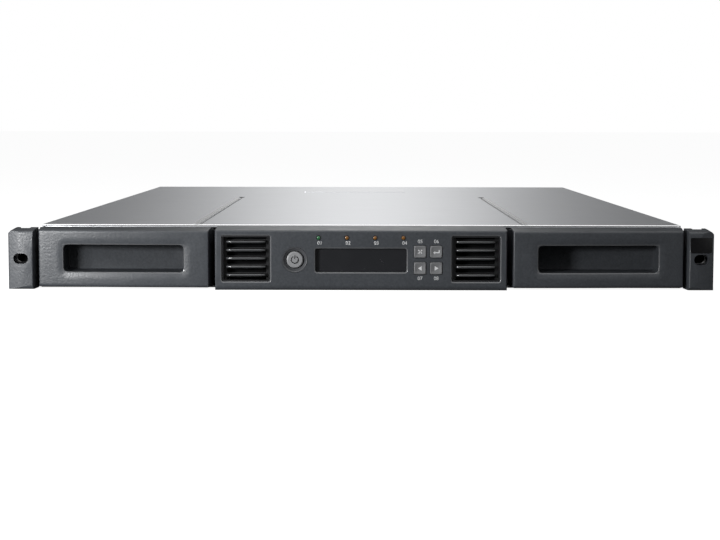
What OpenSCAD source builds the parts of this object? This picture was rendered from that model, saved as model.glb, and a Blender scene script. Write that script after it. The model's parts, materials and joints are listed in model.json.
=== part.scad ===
// Rack-mount tape library, one rack unit high, with two pull-out cartridge magazines.
// Frame: +X to the right seen from the front, +Y to the rear, +Z up. The origin is on the
// underside, on the centre line, at the rear face of the rack ears (the rack mounting plane).

/* [Chassis] */
// Height of the top cover's upper face above the underside
chassis_h = 43; // [43:0.1:43.8]
// Sheet thickness of the base tray
tray_t = 1.2; // [0.8:0.1:1.4]
// Sheet thickness of the top cover
cover_t = 1.0; // [0.8:0.1:1.0]
// Depth of the cover's folded sides
cover_side = 14; // [10:0.5:14]
// Width of the long stiffening beads in the cover
bead_w = 4.6; // [3:0.1:7]
// Height of the beads above the cover
bead_h = 0.5; // [0.3:0.1:0.6]
// Length of the beads
bead_len = 420; // [300:5:560]
// Distance between the two beads, centre to centre
bead_spacing = 231; // [180:1:300]

/* [Rack ears] */
// Width over the rack ears
rack_w = 482.6; // [482:0.1:483]
// How far each ear reaches beyond the side of the top cover
ear_reach = 17.8; // [16.8:0.1:21.3]
// Distance from an ear's outer edge to the centre of its rack slot
slot_inset = 8.75; // [8.3:0.05:9]
// Length of a rack slot
slot_len = 10.3; // [9:0.1:11]
// Width of a rack slot
slot_w = 7.1; // [6.5:0.1:7.5]
// Height of the rack slots above the underside
slot_z = 21.4; // [18:0.1:25]
// Thickness of the ear bracket
ear_t = 2.5; // [2:0.1:3]
// Width of the moulded ear cap
ear_cap_w = 17.3; // [16:0.1:18]
// Depth of the moulded ear cap in front of the bracket
ear_cap_depth = 17.5; // [15:0.1:18]
// Height of the ear cap's face
ear_cap_h = 40.4; // [39:0.1:41]

/* [Front] */
// Depth from the front faces to the front edge of the cover
bezel_depth = 31; // [29:0.5:34]
// Width of the centre operator panel
panel_w = 199.6; // [198:0.1:201]
// Height of the operator panel's face
panel_h = 41.1; // [40:0.1:41.5]
// Rise of the panel's top from the face to the cover
panel_rise = 1.6; // [0.8:0.1:1.8]
// Wall of the front mouldings
wall = 2.5; // [2:0.1:3]
// Gap between the operator panel and a magazine's face
panel_gap = 4.3; // [3.5:0.1:5]
// Draft of the magazine front's inner side, over its depth
mag_taper = 2; // [1:0.1:2.4]
// Gap between an ear cap and a magazine
ear_gap = 3; // [2:0.1:4]
// Fillet along the lower front edges
low_fillet = 3.2; // [2:0.1:4]

/* [Operator panel] */
// Width of a vent opening
vent_w = 32.9; // [28:0.1:34]
// Height of a vent opening
vent_h = 31.2; // [26:0.1:32]
// Distance from the panel's side to a vent's centre
vent_inset = 21.2; // [20:0.1:23]
// Width of the field between a vent and the display window
field_w = 31.05; // [30:0.05:34]
// Number of louvres in a vent
louvres = 5; // [4:1:6]
// Thickness of a louvre
louvre_t = 1.8; // [1.2:0.1:2]
// Depth of the louvres' back plate behind the face
louvre_back = 8.5; // [7:0.1:10]
// Diameter of the power button
power_d = 11.4; // [10:0.1:13]
// Outer diameter of the dished ring round the power button
ring_d = 17.6; // [16:0.1:19]
// Distance from the display window to the centre of the power button
power_offset = 14.1; // [13:0.1:16]
// Travel of the power button
power_travel = 1.5; // [1:0.1:2]
// Diameter of a status lamp
lamp_d = 2.5; // [2:0.1:3]
// Distance between status lamps
lamp_pitch = 19.3; // [17:0.1:21]
// Height of the display window
display_h = 16; // [14:0.1:17]
// Side of a square key
key_side = 8.3; // [7.5:0.1:9]
// Travel of a key
key_travel = 1; // [0.6:0.1:1.2]
// Distance from the display window to the middle of the keys
key_offset = 14.75; // [14:0.05:16]
// Distance between keys, sideways
key_pitch_x = 11.05; // [10.5:0.05:12]
// Distance between keys, upwards
key_pitch_z = 11.3; // [10.5:0.1:12]

/* [Magazines] */
// Width of the finger pocket
pocket_w = 82.7; // [70:0.1:86]
// Height of the finger pocket
pocket_h = 18.6; // [16:0.1:20]
// Depth of the finger pocket
pocket_depth = 22; // [18:0.5:24]
// Height of the magazine's face, from its lower edge
mag_face_h = 38.9; // [37:0.1:39.5]
// Height of the magazine's lower edge above the underside
mag_z = 1.7; // [1.5:0.1:2]
// Setback of the bowed face at its outer end
mag_bow = 5.4; // [3:0.1:7]
// Cartridges in each magazine
cells = 4; // [2:1:4]
// Room between two cartridges, with the divider in it
cell_room = 6; // [5:0.5:8]

/* [Cartridges] */
// Width of a cartridge, along the magazine
cart_w = 102; // [100:0.1:103]
// Length of a cartridge, the way it is inserted
cart_l = 105.4; // [104:0.1:106]
// Thickness of a cartridge
cart_h = 21.5; // [20:0.1:22]
// Height of the plane that every cartridge rests on
cart_z = 14.5; // [14.5:0.1:15]

/* [Robot] */
// Diameter of the two guide rods
rod_d = 5; // [4:0.1:5]
// Distance between the guide rods
rod_spacing = 84; // [80:1:90]
// Running clearance of shafts and bushings, on the radius
run_gap = 0.05; // [0.03:0.01:0.08]
// Module of the drive rack and pinion
gear_m = 1; // [1:0.25:1.25]
// Teeth on the drive pinion
pinion_teeth = 20; // [18:1:20]
// Radius that the turntable sweeps
turn_r = 78; // [77:0.5:79]
// Travel of the picker out of the turntable
picker_travel = 34; // [20:1:34]

/* [Rear] */
// Gap between the turntable and the tape drive
drive_gap = 23; // [10:1:40]
// Width of the tape drive
drive_w = 146; // [140:1:148]
// Length of the tape drive
drive_len = 198; // [180:1:200]
// Side of a cooling fan
fan_side = 40; // [36:1:40]
// Depth of a cooling fan
fan_depth = 20; // [10:1:25]
// Blades on a fan rotor
fan_blades = 7; // [5:1:9]

/* [Hidden] */
$fn = 48;

// Widths that follow from the rack and the panel
chassis_w = rack_w - 2 * ear_reach;
slot_spacing = rack_w - 2 * slot_inset;
panel_x = panel_w / 2;
vent_x = panel_x - vent_inset;
display_w = 2 * (vent_x - vent_w / 2 - field_w);
power_x = display_w / 2 + power_offset;
key_x = display_w / 2 + key_offset;

// Lines that the pieces share
front_y = -ear_t - ear_cap_depth;
cover_y = front_y + bezel_depth;
cover_under = chassis_h - cover_t;
seat_gap = 0.1;
slide_gap = 0.3;
tray_x = chassis_w / 2 - cover_t - seat_gap;
tray_in = tray_x - tray_t;
floor_z = tray_t;
mag_in = panel_x + panel_gap - mag_taper;
mag_out = rack_w / 2 - ear_cap_w - ear_gap;
mag_w = mag_out - mag_in;
mag_mid = (mag_out + mag_in + mag_taper) / 2;
panel_back = front_y + wall;
board_y = front_y + 14.4;
board_t = 1.6;
window_y = front_y + 3.2;
rim_bevel = 0.8;
key_z = 21;
lamp_z = 36.1;
display_z = 20.6;
vent_z = 21.7;
tongue_x = panel_x - wall - seat_gap * 8;
tongue_y = panel_back + 1;
tray_front = 2;
mag_floor_y = cover_y - 1;
cell_pitch = cart_w + cell_room;
cell_y = mag_floor_y + 31;
mag_len_y = cell_y + cells * cell_pitch + 3;
skirt_t = 2;
mag_tray_in = mag_in + mag_taper + 1.9;
mag_tray_out = tray_in - 1.6;
deck_t = 1.5;
deck_under = cart_z - deck_t;
rod_z = 5.2;
plate_z = 8.4;
plate_t = 2;
turn_z = 12.4;
park_y = cell_y + (cells - 0.5) * cell_pitch;
pinion_r = gear_m * pinion_teeth / 2;
rack_line = panel_x - 4.8;
motor_x = rack_line - pinion_r;
motor_back = 60;
drive_y = park_y + turn_r + drive_gap;
rear_y = drive_y + drive_len + 3;
chassis_len = rear_y - cover_y;
drive_z = floor_z + 0.3;
drive_top = cover_under - 0.3;
screw_r = 1.5;

// A box from its lowest corner to its highest
module block(lo, hi) {
    translate(lo) cube(hi - lo);
}

// Points of an arc, for round stretches of an outline
function arc(c, r, a0, a1, n = 8) =
    [for (i = [0:n]) c + r * [cos(a0 + (a1 - a0) * i / n), sin(a0 + (a1 - a0) * i / n)]];

// A flat shape with round corners, centred
module round_rect(w, h, r) {
    square([w - 2 * r, h], center = true);
    square([w, h - 2 * r], center = true);
    for (x = [-1, 1], y = [-1, 1]) {
        translate([x * (w / 2 - r), y * (h / 2 - r)]) circle(r);
    }
}

// An obround, centred, lying along its first axis
module obround(l, w) {
    square([l - w, w], center = true);
    for (x = [-1, 1]) {
        translate([x * (l - w) / 2, 0]) circle(d = w);
    }
}

// Stands an (x, z) shape up as a plate from y0 to y1
module facing(y0, y1) {
    translate([0, y1, 0]) rotate([90, 0, 0]) linear_extrude(y1 - y0) children();
}

// Runs a (y, z) shape sideways from x0 to x1
module along_x(x0, x1) {
    translate([x0, 0, 0]) rotate([90, 0, 90]) linear_extrude(x1 - x0) children();
}

// A round bar along Y
module bar_y(x, z, r, y0, y1) {
    translate([x, y1, z]) rotate([90, 0, 0]) cylinder(r = r, h = y1 - y0);
}

// A round bar along X
module bar_x(y, z, r, x0, x1) {
    translate([x0, y, z]) rotate([0, 90, 0]) cylinder(r = r, h = x1 - x0);
}

// The two rack ears' slots
module rack_slots(y0, y1) {
    for (s = [-1, 1]) {
        translate([s * slot_spacing / 2, 0, slot_z]) facing(y0, y1) obround(slot_len, slot_w);
    }
}

// Half of the object: the left side is the right side mirrored
module side(s) {
    mirror([s < 0 ? 1 : 0, 0, 0]) children();
}

/* ---------- sheet metal ---------- */

cover_screw_y = [cover_y + 70, cover_y + chassis_len / 2, rear_y - 60];
cover_screw_z = chassis_h - cover_side / 2;
ear_leg = 52;
ear_leg_t = 1.5;
ear_leg_z0 = 2;
ear_leg_z1 = chassis_h - cover_side - 0.5;
ear_screw_y = [14, 38];
ear_screw_z = (ear_leg_z0 + ear_leg_z1) / 2;

module base_tray() {
    color("#8d9094") difference() {
        union() {
            block([-tray_x, tray_front, 0], [tray_x, rear_y - tray_t - seat_gap, tray_t]);
            block([-tongue_x, tongue_y, 0], [tongue_x, tray_front + 1, tray_t]);
            for (s = [-1, 1]) side(s) {
                block([tray_in, tray_front, 0], [tray_x, rear_y - tray_t - seat_gap, cover_under]);
            }
        }
        for (s = [-1, 1]) side(s) {
            for (y = cover_screw_y) bar_x(y, cover_screw_z, screw_r + seat_gap, tray_in - 1, tray_x + 1);
            for (y = ear_screw_y) bar_x(y, ear_screw_z, screw_r + seat_gap, tray_in - 1, tray_x + 1);
            // Air slots in the side walls
            for (i = [0:11]) {
                translate([tray_in - 1, rear_y - 280 + 12 * i, 10]) cube([tray_t + 2, 3, 18]);
            }
        }
    }
}

module top_cover() {
    notch = [4.6, 14];
    color("#c9cbcd") difference() {
        union() {
            block([-chassis_w / 2, cover_y, cover_under], [chassis_w / 2, rear_y, chassis_h]);
            for (s = [-1, 1]) side(s) {
                block([chassis_w / 2 - cover_t, cover_y, chassis_h - cover_side],
                      [chassis_w / 2, rear_y, chassis_h]);
                bead();
            }
            // Folded front lip
            block([-tray_in + seat_gap, cover_y, cover_under - 0.6],
                  [tray_in - seat_gap, cover_y + cover_t, chassis_h]);
        }
        for (s = [-1, 1]) side(s) {
            // Lanced opening at the end of the bead
            translate([bead_spacing / 2, cover_y + bead_len, cover_under - 1]) linear_extrude(cover_t + 2)
                polygon([[-notch[0] / 2, notch[1]], [notch[0] / 2, notch[1]], [0.6, 0], [-0.6, 0]]);
            for (y = cover_screw_y) {
                bar_x(y, cover_screw_z, screw_r + seat_gap, tray_x - 1, chassis_w / 2 + 1);
            }
        }
    }
}

// A pressed bead: a low ridge along Y, steep on its inner side and gentle on its outer side
module bead() {
    low = bead_w / 2;
    translate([bead_spacing / 2, cover_y + bead_len, chassis_h]) rotate([90, 0, 0])
        linear_extrude(bead_len)
            polygon([[-low, -0.1], [low, -0.1], [low, 0], [0.8 - low + 0.7, bead_h], [0.5 - low, bead_h], [-low, 0]]);
}

module lock_patch() {
    patch = [104, 63];
    color("#d4d6d8") translate([-7.4, rear_y - 113, chassis_h])
        linear_extrude(0.3) round_rect(patch[0], patch[1], 2);
}

module cover_screws() {
    color("#b8babd") for (s = [-1, 1]) side(s) {
        for (y = cover_screw_y) {
            bar_x(y, cover_screw_z, screw_r, tray_in - 1, chassis_w / 2 + 0.5);
            bar_x(y, cover_screw_z, 2.9, chassis_w / 2, chassis_w / 2 + 1.1);
        }
    }
}

/* ---------- rack ears ---------- */

module rack_ear() {
    color("#77797c") difference() {
        union() {
            block([tray_x, -ear_t, 1], [rack_w / 2 - 0.5, 0, ear_cap_h]);
            block([tray_x, -ear_t, ear_leg_z0], [tray_x + ear_leg_t, ear_leg, ear_leg_z1]);
        }
        rack_slots(-ear_t - 1, 1);
        for (y = ear_screw_y) bar_x(y, ear_screw_z, screw_r + seat_gap, tray_x - 1, tray_x + 3);
    }
}

module left_rack_ear() side(-1) rack_ear();
module right_rack_ear() side(1) rack_ear();

module ear_screws() {
    color("#3a3b3d") for (s = [-1, 1]) side(s) {
        for (y = ear_screw_y) {
            bar_x(y, ear_screw_z, screw_r, tray_in - 1, tray_x + ear_leg_t + 0.5);
            bar_x(y, ear_screw_z, 2.8, tray_x + ear_leg_t, tray_x + ear_leg_t + 0.9);
        }
    }
}

ear_cap_x = rack_w / 2 - ear_cap_w;
ear_draft = 0.9;
ear_bow = 2.2;
badge = [15.2, 10.7];
badge_z = 31.2;
badge_depth = 0.8;

// Side outline of an ear cap: a softly crowned face, a round lower edge and a rising top
module ear_cap_outline() {
    crown = 0.7;
    top = chassis_h - 1;
    polygon(concat(
        arc([front_y + low_fillet, 0.4 + low_fillet], low_fillet, 270, 190, 6),
        [[front_y + crown / 3, 12], [front_y, ear_cap_h / 2], [front_y + crown / 3, ear_cap_h - 10]],
        arc([front_y + 2.2, ear_cap_h - 1.6], 1.6, 175, 100, 5),
        [[-ear_t - 6, top - 0.4], [-ear_t, top], [-ear_t, 0.4]]
    ));
}

// Plan of an ear cap: a face bowed back to its outer end, round front edges and a drafted inner side
module ear_cap_plan(inset = 0) {
    r = 1.4;
    outer = rack_w / 2;
    front = front_y + inset;
    bow_w = ear_cap_w - 2 * r;
    end_angle = 270 + atan(2 * ear_bow / bow_w);
    polygon(concat(
        [[ear_cap_x - ear_draft, -ear_t]],
        arc([ear_cap_x + r, front + r], r, 185, 270, 6),
        [for (i = [1:5]) [ear_cap_x + r + bow_w * i / 6, front + ear_bow * pow(i / 6, 2)]],
        arc([outer - r, front + ear_bow + r], r, end_angle, 360, 6),
        [[outer, -ear_t]]
    ));
}

// Front view of an ear cap: the outer top corner is cut back
module ear_cap_front() {
    outer = rack_w / 2;
    cut = 3.4;
    polygon([
        [ear_cap_x - 2, 0], [outer + 1, 0], [outer + 1, chassis_h - 1 - cut - 1],
        [outer - cut, chassis_h - 1], [outer - cut, chassis_h], [ear_cap_x - 2, chassis_h]
    ]);
}

module ear_cap() {
    outer = rack_w / 2;
    difference() {
        intersection() {
            along_x(ear_cap_x - 2, outer) ear_cap_outline();
            linear_extrude(chassis_h) ear_cap_plan();
            facing(front_y - 1, 0) ear_cap_front();
        }
        // Hollow behind the face
        block([ear_cap_x + wall, front_y + 2 * wall, 2 * wall],
              [outer - wall, -ear_t + 1, slot_z - slot_w / 2 - wall]);
        block([ear_cap_x + wall, front_y + 2 * wall, slot_z + slot_w / 2 + wall],
              [outer - wall, -ear_t + 1, ear_cap_h - wall - 2]);
        rack_slots(front_y - 2, 1);
        // Step between the two nubs on the top edge
        block([ear_cap_x + 4.2, -ear_t - 5, chassis_h - 1.7], [outer - 6, 1, chassis_h]);
    }
}

module left_ear_cap() color("#4b4d51") side(-1) ear_cap();

module right_ear_cap() {
    color("#4b4d51") difference() {
        ear_cap();
        badge_block(badge, 1, front_y - 1);
    }
}

// A block in front of the bowed face moved back by the badge's depth
module badge_block(size, r, y0) {
    difference() {
        translate([slot_spacing / 2 - 0.2, 0, badge_z]) facing(y0, front_y + badge_depth + ear_bow)
            round_rect(size[0], size[1], r);
        linear_extrude(chassis_h) ear_cap_plan(badge_depth);
    }
}

module badge_plate() {
    gap = seat_gap * 2;
    color("#141517") intersection() {
        badge_block([badge[0] - gap, badge[1] - gap], 0.9, front_y);
        linear_extrude(chassis_h) ear_cap_plan(0.15);
    }
}

/* ---------- operator panel ---------- */

lamp_x = [for (i = [0:3]) (i - 1.5) * lamp_pitch];

// Side outline of the panel moulding, inset by a wall for its inside
module panel_outline(inset) {
    f = front_y + inset;
    r = low_fillet - inset / 2;
    top_r = inset > 0 ? 0.3 : 1.1;
    back = cover_y - (inset > 0 ? -1 : seat_gap);
    top = panel_h - inset;
    polygon(concat(
        arc([f + r, r - inset], r, 270, 180, 6),
        arc([f + top_r, top - top_r], top_r, 180, 95, 4),
        [[back, top + panel_rise], [back, -inset]]
    ));
}

// Centres of the four bosses that hold the board
boss_x = vent_x - vent_w / 2 - 4;
boss_at = [for (x = [-boss_x, boss_x], z = [6.5, 35.5]) [x, z]];

// Bevel round an opening in the face
module bevel(w, h, r, c) {
    hull() {
        facing(front_y - 0.5, front_y - 0.4) round_rect(w + 2 * c + 0.8, h + 2 * c + 0.8, r + c, $fn = 32);
        facing(front_y + c, front_y + c + 0.1) round_rect(w, h, r, $fn = 32);
    }
}

module front_panel() {
    color("#4b4d51") difference() {
        union() {
            difference() {
                intersection() {
                    along_x(-panel_x, panel_x) panel_outline(0);
                    translate([0, cover_y, -1]) linear_extrude(chassis_h + 2)
                        round_rect(panel_w, 2 * bezel_depth, 1.4);
                }
                along_x(-panel_x + wall, panel_x - wall) panel_outline(wall);
                // The floor tongue closes the moulding below, and its sides stand on the floor
                block([-panel_x + wall, panel_back, -1], [panel_x - wall, cover_y + 1, 2 * wall]);
                block([-panel_x - 1, tray_front - seat_gap, -1], [panel_x + 1, cover_y + 1, tray_t]);
            }
            for (p = boss_at) bar_y(p[0], p[1], 3, panel_back - 0.5, board_y);
            // Sleeves that guide the keys
            for (i = [-1, 1], j = [-1, 1]) {
                translate([key_x + i * key_pitch_x / 2, 0, key_z + j * key_pitch_z / 2])
                    facing(panel_back - 0.5, panel_back + 2.5) round_rect(key_side + 2.6, key_side + 2.6, 1.6);
            }
            // Seat of the display window
            translate([0, 0, display_z]) facing(panel_back - 0.5, window_y + 1.7)
                round_rect(display_w + 4, display_h + 4, 2.5);
        }
        for (s = [-1, 1]) side(s) {
            translate([vent_x, 0, vent_z]) {
                facing(front_y - 1, panel_back + 1) round_rect(vent_w, vent_h, 1);
                bevel(vent_w, vent_h, 1, rim_bevel);
            }
        }
        bar_y(-power_x, key_z, ring_d / 2, front_y - 1, panel_back + 1);
        for (x = lamp_x) bar_y(x, lamp_z, lamp_d / 2 + seat_gap / 2, front_y - 1, panel_back + 1);
        translate([0, 0, display_z]) {
            facing(front_y - 1, window_y + 1) round_rect(display_w, display_h, 1.2);
            bevel(display_w, display_h, 1.2, rim_bevel);
            facing(window_y, window_y + 2) round_rect(display_w - 3, display_h - 2, 0.8);
        }
        for (i = [-1, 1], j = [-1, 1]) {
            translate([key_x + i * key_pitch_x / 2, 0, key_z + j * key_pitch_z / 2])
                facing(front_y - 1, panel_back + 3) round_rect(key_side + 2 * slide_gap, key_side + 2 * slide_gap, 1.3);
        }
        for (p = boss_at) bar_y(p[0], p[1], 1.2, panel_back + 3, board_y + 1);
    }
}

// A louvre insert: a frame in the opening and a slotted back plate with proud ribs
module vent_grille() {
    rim = 0.9;
    y0 = front_y + 1.2;
    plate_y = front_y + louvre_back;
    pitch = (vent_h - 2.7) / louvres;
    end = 3;
    color("#2c2d30") translate([vent_x, 0, vent_z]) {
        difference() {
            union() {
                facing(y0, plate_y + 2) round_rect(vent_w - 2 * seat_gap, vent_h - 2 * seat_gap, 0.9);
                facing(panel_back, panel_back + 1) round_rect(vent_w + 2, vent_h + 1, 1.5);
            }
            facing(y0 - 1, plate_y) round_rect(vent_w - 2 * rim, vent_h - 2 * rim, 0.5);
            // Air slots between the ribs
            for (i = [0:louvres]) {
                translate([0, 0, (i - louvres / 2) * pitch]) facing(plate_y - 1, plate_y + 3)
                    round_rect(vent_w - 2 * end, pitch - louvre_t - 1, 0.6);
            }
        }
        for (i = [0:louvres - 1]) {
            translate([0, 0, (i - (louvres - 1) / 2) * pitch]) rib(vent_w - 2 * end, plate_y);
        }
    }
}

// One proud rib: a round nose with ball ends
module rib(l, y1) {
    r = louvre_t / 2;
    nose = y1 - 5;
    bar_x(nose, 0, r, r - l / 2, l / 2 - r);
    for (s = [-1, 1]) translate([s * (l / 2 - r), nose, 0]) sphere(r);
    facing(nose, y1 + 0.5) obround(l, louvre_t);
}

module left_vent_grille() side(-1) vent_grille();
module right_vent_grille() side(1) vent_grille();

module power_ring() {
    r = ring_d / 2 - seat_gap;
    hole = power_d / 2 + 0.5;
    lip = front_y + 0.1;
    color("#3f4145") translate([-power_x, 0, key_z]) rotate([-90, 0, 0]) rotate_extrude()
        polygon([
            [r, lip], [r, panel_back], [r + 1.2, panel_back], [r + 1.2, panel_back + 1.2],
            [hole, panel_back + 1.2], [hole, lip + 1.9], [r - 0.7, lip]
        ]);
}

module power_button() {
    r = power_d / 2;
    y = front_y + 0.3;
    color("#6d7074") translate([-power_x, 0, key_z]) rotate([-90, 0, 0]) rotate_extrude()
        polygon(concat(
            [[0, y]],
            [for (a = [90:-15:0]) [r - 1 + cos(a), y + 1 - sin(a)]],
            [[r, y + 5], [2.2, y + 5], [1.5, y + 5.6], [1.5, board_y - 3], [0, board_y - 3]]
        ));
}

module display_window() {
    gap = seat_gap * 2;
    color("#2f3034") translate([0, 0, display_z])
        facing(window_y, window_y + 1) round_rect(display_w - gap, display_h - gap, 1.1);
}

module display_module() {
    color("#26282b") translate([0, 0, display_z]) {
        facing(window_y + 1, window_y + 3) round_rect(display_w - 3.6, display_h - 2.6, 0.6);
        facing(window_y + 1.7, board_y) round_rect(display_w + 6, display_h + 1.5, 0.8);
    }
}

module status_lamps() {
    color("#c8a34a") for (x = lamp_x) {
        bar_y(x, lamp_z, lamp_d / 2, front_y - 0.1, board_y);
        bar_y(x, lamp_z, lamp_d / 2 + 0.7, panel_back, panel_back + 1);
    }
}

// Tall bodies of the push switches: the key's stem runs in the switch's bore
module switch(x, z, stem_r, bottom) {
    difference() {
        translate([x, 0, z]) facing(board_y - 6, board_y) square(6.2, center = true);
        bar_y(x, z, stem_r + run_gap, board_y - 7, board_y - bottom);
    }
}

module panel_board() {
    color("#2c6a45") {
        difference() {
            translate([0, 0, key_z + 0.7]) facing(board_y, board_y + board_t)
                round_rect(2 * (vent_x - vent_w / 2) - 1, 33, 1);
            for (p = boss_at) bar_y(p[0], p[1], screw_r, board_y - 1, board_y + board_t + 1);
        }
        for (i = [-1, 1], j = [-1, 1]) {
            switch(key_x + i * key_pitch_x / 2, key_z + j * key_pitch_z / 2, 1.5, 0.6);
        }
        switch(-power_x, key_z, 1.5, 0.6);
        // Cable header on the rear face
        block([-14, board_y + board_t, 12], [14, board_y + board_t + 6, 18]);
    }
}

module board_screws() {
    color("#b8babd") for (p = boss_at) {
        bar_y(p[0], p[1], 1.15, panel_back + 4, board_y + board_t + 0.5);
        bar_y(p[0], p[1], 2.6, board_y + board_t, board_y + board_t + 1.8);
    }
}

// A square key with a dished top and a round stem
module key(i, j) {
    y = front_y - 0.5;
    color("#5a5c60") translate([key_x + i * key_pitch_x / 2, 0, key_z + j * key_pitch_z / 2])
        difference() {
            union() {
                facing(y, panel_back + 2.6) round_rect(key_side, key_side, 1);
                bar_y(0, 0, 1.5, panel_back + 2, board_y - 2.2);
            }
            translate([0, y - 18, 0]) sphere(r = 18.35);
        }
}

module back_key() key(-1, 1);
module enter_key() key(1, 1);
module previous_key() key(-1, -1);
module next_key() key(1, -1);

/* ---------- magazines ---------- */

mag_top = mag_z + mag_face_h;
mag_ridge = cover_under + 0.4;
pocket_z = 21.5;

// Side outline of a magazine's front moulding, inset by a wall for its inside
module mag_outline(inset) {
    f = front_y + inset;
    back = mag_floor_y + (inset > 0 ? 1 : 0);
    low = mag_z + inset;
    polygon(concat(
        arc([f + 2, low + 2], 2, 270, 185, 5),
        arc([f + 1, mag_top - inset - 1], 1, 175, 115, 3),
        [[front_y + 12, mag_ridge - inset], [front_y + 15, mag_ridge - inset - 1],
         [back, mag_top - inset - 0.6], [back, low]]
    ));
}

// Plan of the front moulding: the face bows back towards its outer end
module mag_plan(inset) {
    face_w = mag_w - mag_taper;
    bow_r = face_w * face_w / (2 * mag_bow) + mag_bow / 2;
    edge = inset > 0 ? 0.1 : 0.8;
    intersection() {
        translate([mag_in + mag_taper, front_y + bow_r]) circle(r = bow_r - inset, $fn = 720);
        polygon(concat(
            arc([mag_in + mag_taper + inset + edge, front_y + inset + edge + 0.05], edge, 270, 184, 4),
            [[mag_in + inset, mag_floor_y + 1], [mag_out - inset, mag_floor_y + 1],
             [mag_out - inset, front_y - 1], [mag_in + mag_taper + inset + edge, front_y - 1]]
        ));
    }
}

module mag_form(inset) {
    intersection() {
        along_x(mag_in, mag_out) mag_outline(inset);
        linear_extrude(chassis_h) mag_plan(inset);
    }
}

module magazine_front() {
    dish_w = 5;
    dish_depth = 0.5;
    face_w = mag_w - mag_taper;
    tilt = atan(mag_bow / face_w);
    chord_y = front_y + mag_bow * (0.25 + pow(pocket_w / 2 / face_w, 2));
    color("#4b4d51") difference() {
        union() {
            difference() {
                mag_form(0);
                mag_form(wall);
            }
            intersection() {
                mag_form(0);
                translate([mag_mid, 0, pocket_z]) facing(front_y, front_y + pocket_depth + wall)
                    round_rect(pocket_w + 2 * wall, pocket_h + 2 * wall + 3, 4);
            }
        }
        translate([mag_mid, 0, pocket_z]) {
            facing(front_y - 1, front_y + pocket_depth) round_rect(pocket_w, pocket_h, 3);
            // Grip behind the upper edge
            facing(front_y + 9, front_y + pocket_depth)
                translate([0, 1.5]) round_rect(pocket_w - 6, pocket_h + 3, 3);
        }
        // Shallow dish round the pocket, turned with the bowed face
        translate([mag_mid, chord_y + dish_depth, pocket_z]) rotate([0, 0, tilt]) hull() {
            facing(-1.4, -1.3) round_rect(pocket_w + 2 * dish_w, pocket_h + 2 * dish_w, 3 + dish_w, $fn = 32);
            facing(0, 0.1) round_rect(pocket_w + 0.6, pocket_h + 0.6, 3.3, $fn = 32);
        }
    }
}

// Tray of a magazine: a deck on two skirts, an outer wall and dividers with retaining lips
module magazine_tray() {
    top = cart_z + cart_h + 2.6;
    div_t = cell_pitch - cart_w - 1.6;
    color("#35373a") difference() {
        union() {
            block([mag_tray_in, mag_floor_y, deck_under], [mag_tray_out, mag_len_y, cart_z]);
            block([mag_tray_out - skirt_t, mag_floor_y, mag_z + 0.8], [mag_tray_out, mag_len_y, top]);
            block([mag_tray_in, mag_floor_y, mag_z + 0.8], [mag_tray_in + skirt_t, mag_len_y, cart_z]);
            block([mag_tray_in, mag_floor_y, mag_z + 0.8], [mag_tray_out, mag_floor_y + 2, top]);
            for (i = [0:cells]) {
                y = cell_y + i * cell_pitch;
                block([mag_tray_in, y - div_t / 2, cart_z - 1], [mag_tray_out, y + div_t / 2, top]);
                block([mag_tray_in + 20, y - div_t / 2 - 2.4, cart_z + cart_h + 0.8],
                      [mag_tray_out, y + div_t / 2 + 2.4, top]);
            }
            for (i = [0:cells - 1], x = [1 / 3, 2 / 3]) {
                y = cell_y + (i + 0.5) * cell_pitch;
                w = mag_tray_out - mag_tray_in;
                translate([mag_tray_in + x * w - 0.75, y - cell_pitch / 2, mag_z + 2])
                    cube([1.5, cell_pitch, deck_under - mag_z - 1]);
            }
        }
        // Finger and sensor windows in the deck and the outer wall
        for (i = [0:cells - 1]) {
            y = cell_y + (i + 0.5) * cell_pitch;
            translate([mag_tray_out + 1, y, cart_z + cart_h / 2]) rotate([90, 0, -90])
                linear_extrude(skirt_t + 2) round_rect(60, 12, 3);
            translate([mag_tray_in + 12, y, deck_under - 1]) linear_extrude(deck_t + 2)
                round_rect(12, 40, 3);
        }
    }
}

// A tape cartridge: rounded case, chamfered corner, reel opening below and a label recess
module cartridge() {
    difference() {
        linear_extrude(cart_h) difference() {
            round_rect(cart_l, cart_w, 3);
            translate([-cart_l / 2, cart_w / 2]) rotate(45) square(11, center = true);
        }
        translate([0, 0, -1]) cylinder(d = 40, h = 3);
        translate([-cart_l / 2 - 1, 0, cart_h / 2]) rotate([90, 0, 90])
            linear_extrude(1.5) round_rect(76, 12, 1);
        for (i = [0:5]) translate([cart_l / 2 - 30 + 4 * i, 0, cart_h - 0.5])
            linear_extrude(1) round_rect(1.6, 50, 0.7);
    }
}

module cartridges() {
    color("#2a2d33") for (i = [0:cells - 1]) {
        translate([mag_tray_out - skirt_t - 0.6 - cart_l / 2, cell_y + (i + 0.5) * cell_pitch, cart_z])
            cartridge();
    }
}

// Floor rail that the magazine's inner skirt runs in
module magazine_guide() {
    rib = 2;
    x0 = mag_tray_in - slide_gap;
    x1 = mag_tray_in + skirt_t + slide_gap;
    z1 = 7;
    color("#d9dadb") {
        block([x0 - rib, cover_y + 4, floor_z], [x1 + rib, mag_len_y + 6, floor_z + 0.9]);
        block([x0 - rib, cover_y + 4, floor_z], [x0, mag_len_y + 6, z1]);
        block([x1, cover_y + 4, floor_z], [x1 + rib, mag_len_y + 6, z1]);
        // End stop
        block([x0 - rib, mag_len_y + 2, floor_z], [x1 + rib, mag_len_y + 6, z1 + 4]);
    }
}

module left_magazine_front() side(-1) magazine_front();
module right_magazine_front() side(1) magazine_front();
module left_magazine_tray() side(-1) magazine_tray();
module right_magazine_tray() side(1) magazine_tray();
module left_cartridges() side(-1) cartridges();
module right_cartridges() side(1) cartridges();
module left_magazine_guide() side(-1) magazine_guide();
module right_magazine_guide() side(1) magazine_guide();

/* ---------- robot ---------- */

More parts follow.
